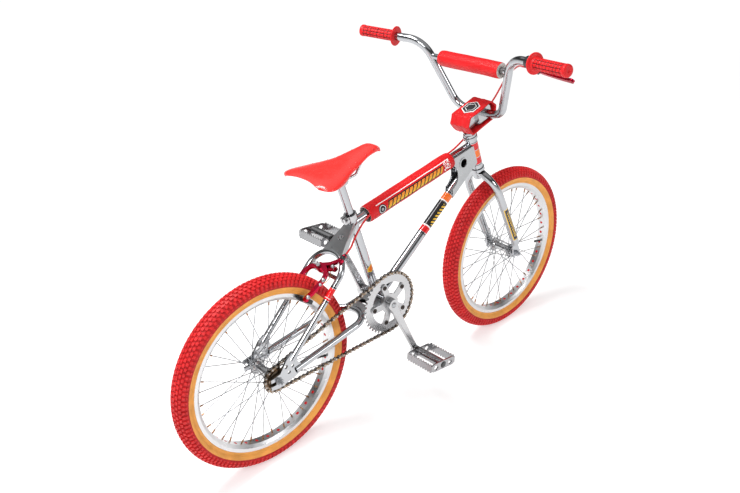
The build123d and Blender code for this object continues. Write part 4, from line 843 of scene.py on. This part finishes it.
stem_pad_cloth = nylon("stem_pad_nylon", STEM_CENTER, STEM_FORWARD)
stem_cover = stem_pad()
attach(stem_cover, "steering", "red_fabric", "stem_pad")


def hexagon_badge():
    """A plain black hexagon with a white border and two inner rings, on top of the stem pad."""
    center = stem_place(26, 28.2, 0)
    rings = [(25.4, 0.0), (24.8, 0.8), (22.6, 0.8), (22.5, 0.85), (16.0, 0.9), (15.9, 0.9), (14.4, 0.9),
             (14.3, 0.9), (0.01, 0.9)]
    vertices = []
    for radius, rise in rings:
        for corner in range(6):
            angle = math.pi / 3 * corner
            offset = STEM_FORWARD * math.cos(angle) * 1.15 + ACROSS * math.sin(angle)
            vertices.append(center + (offset * radius + STEER_UP * rise) * MM)
    slots = [number for number in (1, 1, 1, 0, 1, 1, 0, 0) for _ in range(6)]
    badge_black = plastic("badge_black", BLACK, 0.4)
    badge_white = plastic("badge_white", WHITE, 0.4)
    return mesh_object("stem_pad_badge", vertices, grid_faces(len(rings), 6),
                       [badge_black, badge_white], slots, smooth=False)


attach(hexagon_badge(), "steering", "black_plastic")

# ---------------- grips
GRIP_LENGTH = 116.5 * MM
GRIP_GROOVE_RADIUS = 14.7 * MM
GRIP_GROOVE_DEPTH = 1.7 * MM
GRIP_COLLAR = 9 * MM
GRIP_TAIL = 8 * MM
grip_outward = (BAR_END - BAR_UPPER).normalized()
grip_inner = BAR_UPPER + grip_outward * ((238 - 152) * MM / grip_outward.y)


def grip_material():
    """Red rubber with painted shade in the grooves, the same on both sides of the bike."""
    shader = rubber("grip_rubber", RED, 0.42)
    split = shader.node("ShaderNodeSeparateXYZ")
    fold = shader.node("ShaderNodeCombineXYZ")
    shader.put(split.inputs[0], shader.place)
    for axis in "XYZ":
        shader.put(fold.inputs[axis], split.outputs[axis])
    shader.put(fold.inputs["Y"], abs(Value(shader, split.outputs["Y"])))
    shader.place = fold.outputs[0]
    along = shader.along(grip_inner, grip_outward)
    offset = shader.offset(grip_inner)
    deep = (shader.dot(offset, offset) - along * along).math("SQRT") < GRIP_GROOVE_RADIUS
    painted_groove_shade = deep * along.between(GRIP_COLLAR, GRIP_LENGTH - GRIP_TAIL)
    # Painted shade: the rubber down in the grooves is coloured a dark red.
    shader.cover((painted_groove_shade, rgb(0.16, 0.003, 0.005)))
    return shader.material


grip_rubber = grip_material()


def grip_relief(distance, angle):
    """Square blocks cut by shallow grooves, with plain collars at both ends."""
    if distance < GRIP_COLLAR or distance > GRIP_LENGTH - GRIP_TAIL:
        return 0.0
    ring = abs((distance / (11.5 * MM)) % 1.0 - 0.5) < 0.42
    rib = abs((angle / (2 * math.pi) * 10) % 1.0 - 0.5) < 0.40
    return 0.0 if ring and rib else -GRIP_GROOVE_DEPTH


def grip(side):
    """One grip: a round flange, a blocked body and a domed end with a small hole."""
    outward = grip_outward
    inner = grip_inner
    if side < 0:
        outward = Vector((outward.x, -outward.y, outward.z))
        inner = Vector((inner.x, -inner.y, inner.z))
    profile = in_mm([(-0.2, 11.4), (-0.2, 22.0), (0.2, 25.5), (1.4, 27.0), (2.8, 27.0), (4.0, 25.6),
                     (4.6, 20.0), (6.0, 16.4), (8.4, 15.5)])
    steps = 92
    for step in range(1, steps):
        profile.append((8.4 * MM + (GRIP_LENGTH - 15 * MM) * step / steps, 15.5 * MM))
    tail = in_mm([(-6.0, 16.2), (-2.5, 16.4), (0.6, 15.8), (2.4, 13.0), (3.1, 9.0), (3.2, 3.4), (2.0, 3.0),
                  (1.0, 0.1)])
    profile += [(GRIP_LENGTH + distance, radius) for distance, radius in tail]
    name = "grip_left_moulded" if side > 0 else "grip_right_moulded"
    return lathe(name, inner, outward, profile, [grip_rubber], 120, relief=grip_relief)


grips = join("grips_moulded", [grip(1), grip(-1)])
attach(grips, "steering", "red_grip", "grips")

# ---------------- saddle
# x, crest height, half width, depth of the skirt below the crest, in millimetres
SADDLE = [
    (-289, 713, 62, 9), (-276, 717, 84, 16), (-255, 719, 87, 20), (-220, 720, 75, 20), (-180, 722, 54, 16),
    (-150, 725, 42, 15), (-105, 734, 29, 13), (-72, 739, 23, 15), (-52, 731, 15, 13), (-43, 722, 7, 8),
]
SADDLE_WALL = 3.0 * MM


def between_stations(place):
    """The saddle's x, crest, half width and skirt at a place along its stations, on a smooth line."""
    index = min(int(place), len(SADDLE) - 2)
    t = place - index
    around = [SADDLE[max(0, min(len(SADDLE) - 1, index + step))] for step in (-1, 0, 1, 2)]
    result = []
    for before, start, end, after in zip(*around):
        square = (2 * before - 5 * start + 4 * end - after) * t ** 2
        cube = (3 * start - before - 3 * end + after) * t ** 3
        result.append(0.5 * (2 * start + (end - before) * t + square + cube))
    return result


def saddle():
    """A one-piece moulded shell: a broad tail with drooping lobes that narrows to a long nose."""
    rows = 72
    columns = 40
    vertices = []
    for row in range(rows + 1):
        x, crest, half, skirt = between_stations(row / rows * (len(SADDLE) - 1))
        tail = max(0.0, (-262 - x) / 27)
        for column in range(columns + 1):
            u = -1 + 2 * column / columns
            wide = math.copysign(math.sin(abs(u) * math.pi / 2) ** 0.92, u) if u else 0.0
            drop = (1 - math.cos(u * math.pi / 2)) ** 1.35
            notch = 7.0 * tail * (1 - min(1.0, abs(wide) / 0.8) ** 2)
            vertices.append(Vector((x + notch, half * wide, crest - skirt * drop)) * MM)
    faces = grid_faces(rows + 1, columns + 1, loop=False)
    piece = mesh_object("saddle_moulded", vertices, faces, [plastic("saddle_plastic", SADDLE_RED, 0.22)])
    if piece.data.polygons[rows * columns // 2].normal.z < 0:
        piece.data.flip_normals()
    solid = piece.modifiers.new("shell", "SOLIDIFY")
    solid.thickness = SADDLE_WALL
    solid.offset = -1.0
    bevel = piece.modifiers.new("lip", "BEVEL")
    bevel.width = 1.2 * MM
    bevel.segments = 2
    bevel.limit_method = "ANGLE"
    bevel.angle_limit = math.radians(50)
    return piece


attach(saddle(), "seat", "red_plastic", "saddle_shell")

rivets = []
for side in (1, -1):
    for place in (3.3, 4.2, 5.1, 5.9, 6.7):
        x, crest, half, skirt = between_stations(place)
        u = 0.62
        spot = Vector((x, side * half * math.sin(u * math.pi / 2) ** 0.92,
                       crest - skirt * (1 - math.cos(u * math.pi / 2)) ** 1.35 - 0.2)) * MM
        rivets.append((spot, Vector((0, side * 0.35, 0.94)).normalized()))
attach(many_discs("saddle_rivets", rivets, 2.6 * MM, 0.7 * MM, plastic("rivet_red", DEEP_RED, 0.3)), "seat",
       "red_plastic")

# ---------------- chain
LINK = 12.7 * MM
CHAIN_LINE = -45 * MM


def pitch_radius(teeth):
    return LINK / (2 * math.sin(math.pi / teeth))


def chain_loop():
    """The length of the chain's loop, and a function from distance to point and heading."""
    big = pitch_radius(42)
    small = pitch_radius(16)
    span = Vector((CRANK_CENTER.x - REAR_AXLE.x, CRANK_CENTER.z - REAR_AXLE.z))
    lean = math.atan2(span.y, span.x)
    spread = math.asin((big - small) / span.length)
    upper = lean + math.pi / 2 + spread
    lower = lean - math.pi / 2 - spread
    run = math.sqrt(span.length ** 2 - (big - small) ** 2)
    front_arc = big * (math.pi + 2 * spread)
    rear_arc = small * (math.pi - 2 * spread)

    def spot(center, radius, angle):
        return Vector((center.x + radius * math.cos(angle), center.z + radius * math.sin(angle)))

    def place(distance):
        distance %= 2 * run + front_arc + rear_arc
        if distance < run:
            start = spot(REAR_AXLE, small, upper)
            end = spot(CRANK_CENTER, big, upper)
            return start.lerp(end, distance / run)
        distance -= run
        if distance < front_arc:
            return spot(CRANK_CENTER, big, upper - distance / big)
        distance -= front_arc
        if distance < run:
            start = spot(CRANK_CENTER, big, lower)
            end = spot(REAR_AXLE, small, lower)
            return start.lerp(end, distance / run)
        distance -= run
        return spot(REAR_AXLE, small, lower - distance / small)

    return 2 * run + front_arc + rear_arc, place


def link_plate(start, end, y, thickness, waist=1.7 * MM, head=4.2 * MM):
    """A figure-of-eight plate between two pins."""
    along = (end - start).normalized()
    side = Vector((-along.y, along.x))
    outline = []
    for center, first, last in ((end, -110, 110), (start, 70, 290)):
        for step in range(7):
            angle = math.radians(first + (last - first) * step / 6)
            outline.append(center + (along * math.cos(angle) + side * math.sin(angle)) * head)
        middle_point = (start + end) / 2
        outline.append(middle_point + side * (waist if first < 0 else -waist))
    points = [Vector((point.x, y + offset, point.y)) for offset in (-thickness / 2, thickness / 2)
              for point in outline]
    count = len(outline)
    faces = [tuple(range(count)), tuple(range(2 * count - 1, count - 1, -1))]
    for index in range(count):
        after = (index + 1) % count
        faces.append((index, count + index, count + after, after))
    return points, faces


def chain():
    """Alternate inner and outer plates with rollers and pins, all the way round."""
    total, place = chain_loop()
    links = 2 * round(total / LINK / 2)
    step = total / links
    shapes = []
    slots = []

    def take(points, faces, slot):
        shapes.append((points, faces))
        slots.extend([slot] * len(faces))

    for index in range(links):
        start = place(index * step)
        end = place((index + 1) * step)
        reach = (2.2 if index % 2 else 3.4) * MM
        for side in (1, -1):
            take(*link_plate(start, end, CHAIN_LINE + side * reach, 1.0 * MM), 2 * (index % 2))
        for radius, half in in_mm([(3.6, 1.7), (1.8, 4.3)]):
            ring = []
            for y in (CHAIN_LINE - half, CHAIN_LINE + half):
                for turn in range(10):
                    angle = 2 * math.pi * turn / 10
                    ring.append(Vector((start.x + radius * math.cos(angle), y,
                                        start.y + radius * math.sin(angle))))
            take(ring, grid_faces(2, 10) + [tuple(range(9, -1, -1)), tuple(range(10, 20))], 1)
    vertices, faces = gather(shapes)
    return mesh_object("chain_links", vertices, faces, [bronze, zinc, dark_steel], slots, smooth=False)


attach(chain(), "frame", "bronze_steel", "chain")

# ---------------- brake cable
lever_pivot, lever_axis = joint_place("brake_lever_pull")
bar_outward = (BAR_END - BAR_UPPER).normalized()
bar_right = Vector((bar_outward.x, -bar_outward.y, bar_outward.z))
lever_away = lever_axis.cross(bar_right)
CABLE_RADIUS = 2.5 * MM


def beside_top_tube(x, turn):
    """A point that rides on the top tube at this X in millimetres, turned to the left of its top."""
    center = TOP_TUBE[0] + top_direction * ((x * MM - TOP_TUBE[0].x) / top_direction.x)
    above = top_direction.cross(ACROSS)
    gap = 16.4 * MM
    angle = math.radians(turn)
    return center + above * (gap * math.cos(angle)) + ACROSS * (gap * math.sin(angle))


def caliper_place(across, down, out):
    """A point in the brake caliper's own frame, in millimetres."""
    return BRAKE_PIVOT + (ACROSS * across + BRAKE_DOWN * down + BRAKE_OUT * out) * MM


lever_exit = lever_pivot - bar_right * 20.5 * MM + lever_away * 2 * MM
cable_joint = stem_place(4, -62, 25.5)
cable_entry = caliper_place(-44, -55.2, 12)
CABLE_ROUTE = [
    lever_exit,
    lever_exit - bar_right * 26 * MM,
    Vector((0.334, -0.126, 0.868)),
    Vector((0.350, -0.076, 0.824)),
    Vector((0.364, -0.050, 0.793)),
    Vector((0.381, -0.016, 0.752)),
    Vector((0.388, 0.012, 0.718)),
    Vector((0.376, 0.024, 0.688)),
    stem_place(58, -48, 24),
    stem_place(26, -57, 25.5),
    cable_joint,
    cable_joint * 2 - stem_place(26, -57, 25.5),
    beside_top_tube(238, 42),
    beside_top_tube(205, 24),
    beside_top_tube(150, 18),
    beside_top_tube(95, 10),
    beside_top_tube(40, -6),
    beside_top_tube(-12, -30),
    beside_top_tube(-60, -62),
    beside_top_tube(-102, -76),
    Vector((-0.136, -0.023, 0.545)),
    Vector((-0.172, -0.0335, 0.520)),
    cable_entry - BRAKE_DOWN * 24 * MM,
    cable_entry,
]


def smooth_line(points, samples=12):
    """The points of the NURBS line that a route controls."""
    curve = bpy.data.curves.new("route", "CURVE")
    curve.dimensions = "3D"
    spline = curve.splines.new("NURBS")
    spline.points.add(len(points) - 1)
    for point, place in zip(spline.points, points):
        point.co = (*place, 1.0)
    spline.order_u = 3
    spline.use_endpoint_u = True
    spline.resolution_u = samples
    shown = bpy.data.objects.new("route", curve)
    bpy.context.scene.collection.objects.link(shown)
    bpy.context.view_layer.update()
    mesh = bpy.data.meshes.new_from_object(shown)
    line = [vertex.co.copy() for vertex in mesh.vertices]
    bpy.data.meshes.remove(mesh)
    bpy.data.objects.remove(shown)
    bpy.data.curves.remove(curve)
    return line


def tube_along(name, line, radius, material, sides=14):
    """A round tube whose rings follow a line of points without twisting."""
    side = cross_axes((line[1] - line[0]).normalized())[0]
    vertices = []
    for index, point in enumerate(line):
        ahead = (line[min(index + 1, len(line) - 1)] - line[max(index - 1, 0)]).normalized()
        side = (side - ahead * side.dot(ahead)).normalized()
        other = ahead.cross(side)
        for step in range(sides):
            angle = 2 * math.pi * step / sides
            vertices.append(point + (side * math.cos(angle) + other * math.sin(angle)) * radius)
    faces = grid_faces(len(line), sides)
    last = (len(line) - 1) * sides
    faces.append(tuple(range(sides - 1, -1, -1)))
    faces.append(tuple(range(last, last + sides)))
    return mesh_object(name, vertices, faces, [material])


cable_line = smooth_line(CABLE_ROUTE)
cable = tube_along("brake_cable", cable_line, CABLE_RADIUS, plastic("cable_red", RED, 0.3))
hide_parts("brake_cable_front", "brake_cable_rear")
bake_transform(cable)


# ---------------- small brake parts
def wire(name, points, radius, material):
    return tube_along(name, smooth_line(points, 8), radius, material, 10)


def brake_spring():
    """A bent wire behind the caliper arms, hooked round a tab on each."""
    right = [caliper_place(-31, 34, -3), caliper_place(-40, 20, -4), caliper_place(-30, -2, -5),
             caliper_place(-12, -12, -6)]
    left = [caliper_place(12, -12, -6), caliper_place(30, -2, -5), caliper_place(40, 20, -4),
            caliper_place(31, 34, -3)]
    return wire("brake_spring", right + [caliper_place(0, -16, -6)] + left, 0.9 * MM, brass)


attach(brake_spring(), "frame", "steel")
inner_wire = wire("brake_inner_wire", [caliper_place(-44, -30, 12), caliper_place(-43, -22, 11.5),
                                       caliper_place(-41, -10, 10.5)], 0.8 * MM, zinc)
attach(inner_wire, "brake_arm_right", "steel")
adjuster = lathe("brake_adjuster", caliper_place(-44, -38.4, 12), BRAKE_DOWN * -1,
                 in_mm([(0.0, 4.4), (3.0, 4.4), (3.2, 6.6), (12.0, 6.6), (13.0, 4.6), (19.0, 4.2)]),
                 [black_plastic], 24)
attach(adjuster, "brake_arm_right", "steel")


def bolt(name, place, axis, radius, height, material):
    """A domed bolt head on a washer."""
    profile = [(0.0, radius * 1.35), (0.8 * MM, radius * 1.35), (0.9 * MM, radius), (height, radius),
               (height + 0.25 * radius, radius * 0.8), (height + 0.35 * radius, 0.02 * MM)]
    return lathe(name, place, axis, profile, [material], 20)


# name, place in the caliper's frame, radius, height
ARM_BOLTS = {
    "left": [("left_arm_bolt", (23, -6, 7.4), 4.0, 3.0), ("left_stud_nut", (43, 72, 7.4), 4.0, 3.4)],
    "right": [("right_knuckle", (-43, 28, 15.4), 5.2, 4.0),
              ("right_knuckle_lower", (-46, 42, 15.4), 3.4, 3.0),
              ("right_stud_nut", (-42, 84, 15.4), 4.4, 4.0),
              ("right_anchor_bolt", (-38.5, -14, 15.4), 3.6, 3.0)],
}
for side, bolts in ARM_BOLTS.items():
    heads = [bolt(name, caliper_place(*place), BRAKE_OUT, radius * MM, height * MM, zinc)
             for name, place, radius, height in bolts]
    attach(join(side + "_arm_bolts", heads), "brake_arm_" + side, "steel")

YOKE_HOLE = Vector((-177.7, 0, 523.6)) * MM
YOKE_NORMAL = Vector((-0.66, 0, 0.75)).normalized()


def yoke_plug():
    """The bright domed plug in the seat stay yoke's round hole."""
    profile = in_mm([(-4.0, 9.2), (0.3, 9.3), (0.4, 11.8), (1.4, 11.6), (2.0, 10.4), (1.2, 7.0), (1.0, 3.0),
                     (1.6, 0.02)])
    return lathe("yoke_plug", YOKE_HOLE + YOKE_NORMAL * 0.2 * MM, YOKE_NORMAL, profile, [silver], 32)


attach(yoke_plug(), "frame", "silver_alloy")

# ---------------- pedal caps, crank bolts and valves
CRANK_BOLT_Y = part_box("crank_axle")[1][1] - 0.6 * MM

for side, word in ((1, "left"), (-1, "right")):
    center = joint_place("pedal_" + word + "_spin")[0]
    outward = ACROSS * side
    cap = lathe("pedal_cap_" + word, Vector((center.x, side * 176.2 * MM, center.z)), outward,
                in_mm([(0.0, 0.02), (0.0, 9.5), (6.2, 9.5), (7.4, 7.0), (7.4, 0.02)]), [black_plastic], 24)
    attach(cap, "pedal_" + word, "black_plastic")
    crank_bolt = bolt("crank_bolt_" + word, CRANK_CENTER + outward * CRANK_BOLT_Y, outward,
                      5.2 * MM, 1.6 * MM, zinc)
    attach(crank_bolt, "crank", "steel")


def valve(wheel, center):
    """A rubber valve stem with a cap, pointing at the axle between two spokes."""
    turn = 2 * math.pi * 34.5 / SPOKES + 0.02
    inward = Vector((-math.cos(turn), 0, -math.sin(turn)))
    foot = center - inward * (RIM_INNER + 1 * MM)
    profile = in_mm([(0.0, 4.0), (2.0, 3.4), (18.0, 2.9), (18.2, 3.6), (27.0, 3.6), (28.0, 2.6),
                     (28.2, 0.02)])
    return lathe(wheel + "_valve", foot, inward, profile, [black_plastic], 16)


for wheel, center in WHEELS.items():
    attach(valve(wheel, center), wheel + "_wheel", "black_plastic")

# ---------------- floor, light and camera
CAMERA_AZIMUTH = -40.88
CAMERA_ELEVATION = 27.01
CAMERA_ROLL = -3.095
CAMERA_PLACE = Vector((-1.3461, -1.4525, 1.4422))
CAMERA_LENS = 40.5


def camera():
    """The camera looks down at the bike from behind, on its right side."""
    azimuth = math.radians(CAMERA_AZIMUTH)
    elevation = math.radians(CAMERA_ELEVATION)
    roll = math.radians(CAMERA_ROLL)
    back = Vector((math.sin(azimuth) * math.cos(elevation), -math.cos(azimuth) * math.cos(elevation),
                   math.sin(elevation)))
    right = (back * -1).cross(UP).normalized()
    above = right.cross(back * -1)
    x_axis = right * math.cos(roll) + above * math.sin(roll)
    y_axis = above * math.cos(roll) - right * math.sin(roll)
    made = bpy.data.objects.new("camera", bpy.data.cameras.new("camera"))
    made.data.sensor_fit = "HORIZONTAL"
    made.data.sensor_width = 36.0
    made.data.lens = CAMERA_LENS
    made.data.clip_end = 200.0
    turn = Matrix((x_axis, y_axis, back)).transposed().to_4x4()
    made.matrix_world = Matrix.Translation(CAMERA_PLACE) @ turn
    bpy.context.scene.collection.objects.link(made)
    bpy.context.scene.camera = made


def area_light(name, place, target, width, height, power):
    """A soft rectangular light aimed at a point."""
    lamp = bpy.data.lights.new(name, "AREA")
    lamp.shape = "RECTANGLE"
    lamp.size = width
    lamp.size_y = height
    lamp.energy = power
    made = bpy.data.objects.new(name, lamp)
    made.location = place
    made.rotation_euler = (Vector(target) - Vector(place)).to_track_quat("-Z", "Y").to_euler()
    bpy.context.scene.collection.objects.link(made)


def studio_world():
    """Surroundings for metal to reflect: bright up to the horizon, dark above it, bright overhead."""
    world = bpy.data.worlds.new("studio")
    world.use_nodes = True
    tree = world.node_tree
    background = tree.nodes["Background"]
    place = tree.nodes.new("ShaderNodeTexCoord")
    split = tree.nodes.new("ShaderNodeSeparateXYZ")
    ramp = tree.nodes.new("ShaderNodeValToRGB")
    tree.links.new(place.outputs["Generated"], split.inputs["Vector"])
    tree.links.new(split.outputs["Z"], ramp.inputs["Fac"])
    tree.links.new(ramp.outputs["Color"], background.inputs["Color"])
    stops = [(0.0, 1.0), (0.10, 0.95), (0.17, 0.30), (0.36, 0.07), (0.52, 0.10), (0.62, 0.75), (1.0, 0.85)]
    while len(ramp.color_ramp.elements) < len(stops):
        ramp.color_ramp.elements.new(0.5)
    for element, (position, value) in zip(ramp.color_ramp.elements, stops):
        element.position = position
        element.color = (value, value, value, 1.0)
    background.inputs["Strength"].default_value = 0.62
    bpy.context.scene.world = world


BRIGHT_DISTANCE = 5.0
FLOOR_HALF = 60.0


def floor():
    """A plain white floor that glows a little, as a lit studio sweep does."""
    shader = Shader("floor_white", roughness=0.95)
    shader.colour(shader.mix(shader.spread(shader.noise(0.6, 2.0), 0.0, 1.0), rgb(0.66, 0.66, 0.66),
                             rgb(0.68, 0.68, 0.68)))
    shader.surface.inputs["Specular IOR Level"].default_value = 0.0
    far = shader.reach(ORIGIN, FORWARD, ACROSS) / BRIGHT_DISTANCE
    glow = shader.mix((far * far).math("MINIMUM", 1.0), rgb(0.66, 0.66, 0.66), rgb(1.0, 1.0, 1.0))
    shader.put(shader.surface.inputs["Emission Color"], glow)
    shader.surface.inputs["Emission Strength"].default_value = 0.76
    corners = [(FLOOR_HALF * a, FLOOR_HALF * b, 0) for a, b in ((-1, -1), (1, -1), (1, 1), (-1, 1))]
    mesh_object("floor", corners, [(0, 1, 2, 3)], [shader.material], smooth=False)


camera()
studio_world()
floor()
area_light("overhead", (-0.9, 0.6, 3.2), (0.0, 0.0, 0.3), 1.6, 1.0, 96)
area_light("key", (-3.0, -1.4, 2.8), (0.0, 0.0, 0.4), 1.6, 0.9, 60)
area_light("fill", (1.4, -3.4, 1.9), (0.0, 0.0, 0.4), 1.4, 0.8, 24)
bpy.context.scene.view_settings.view_transform = "Standard"
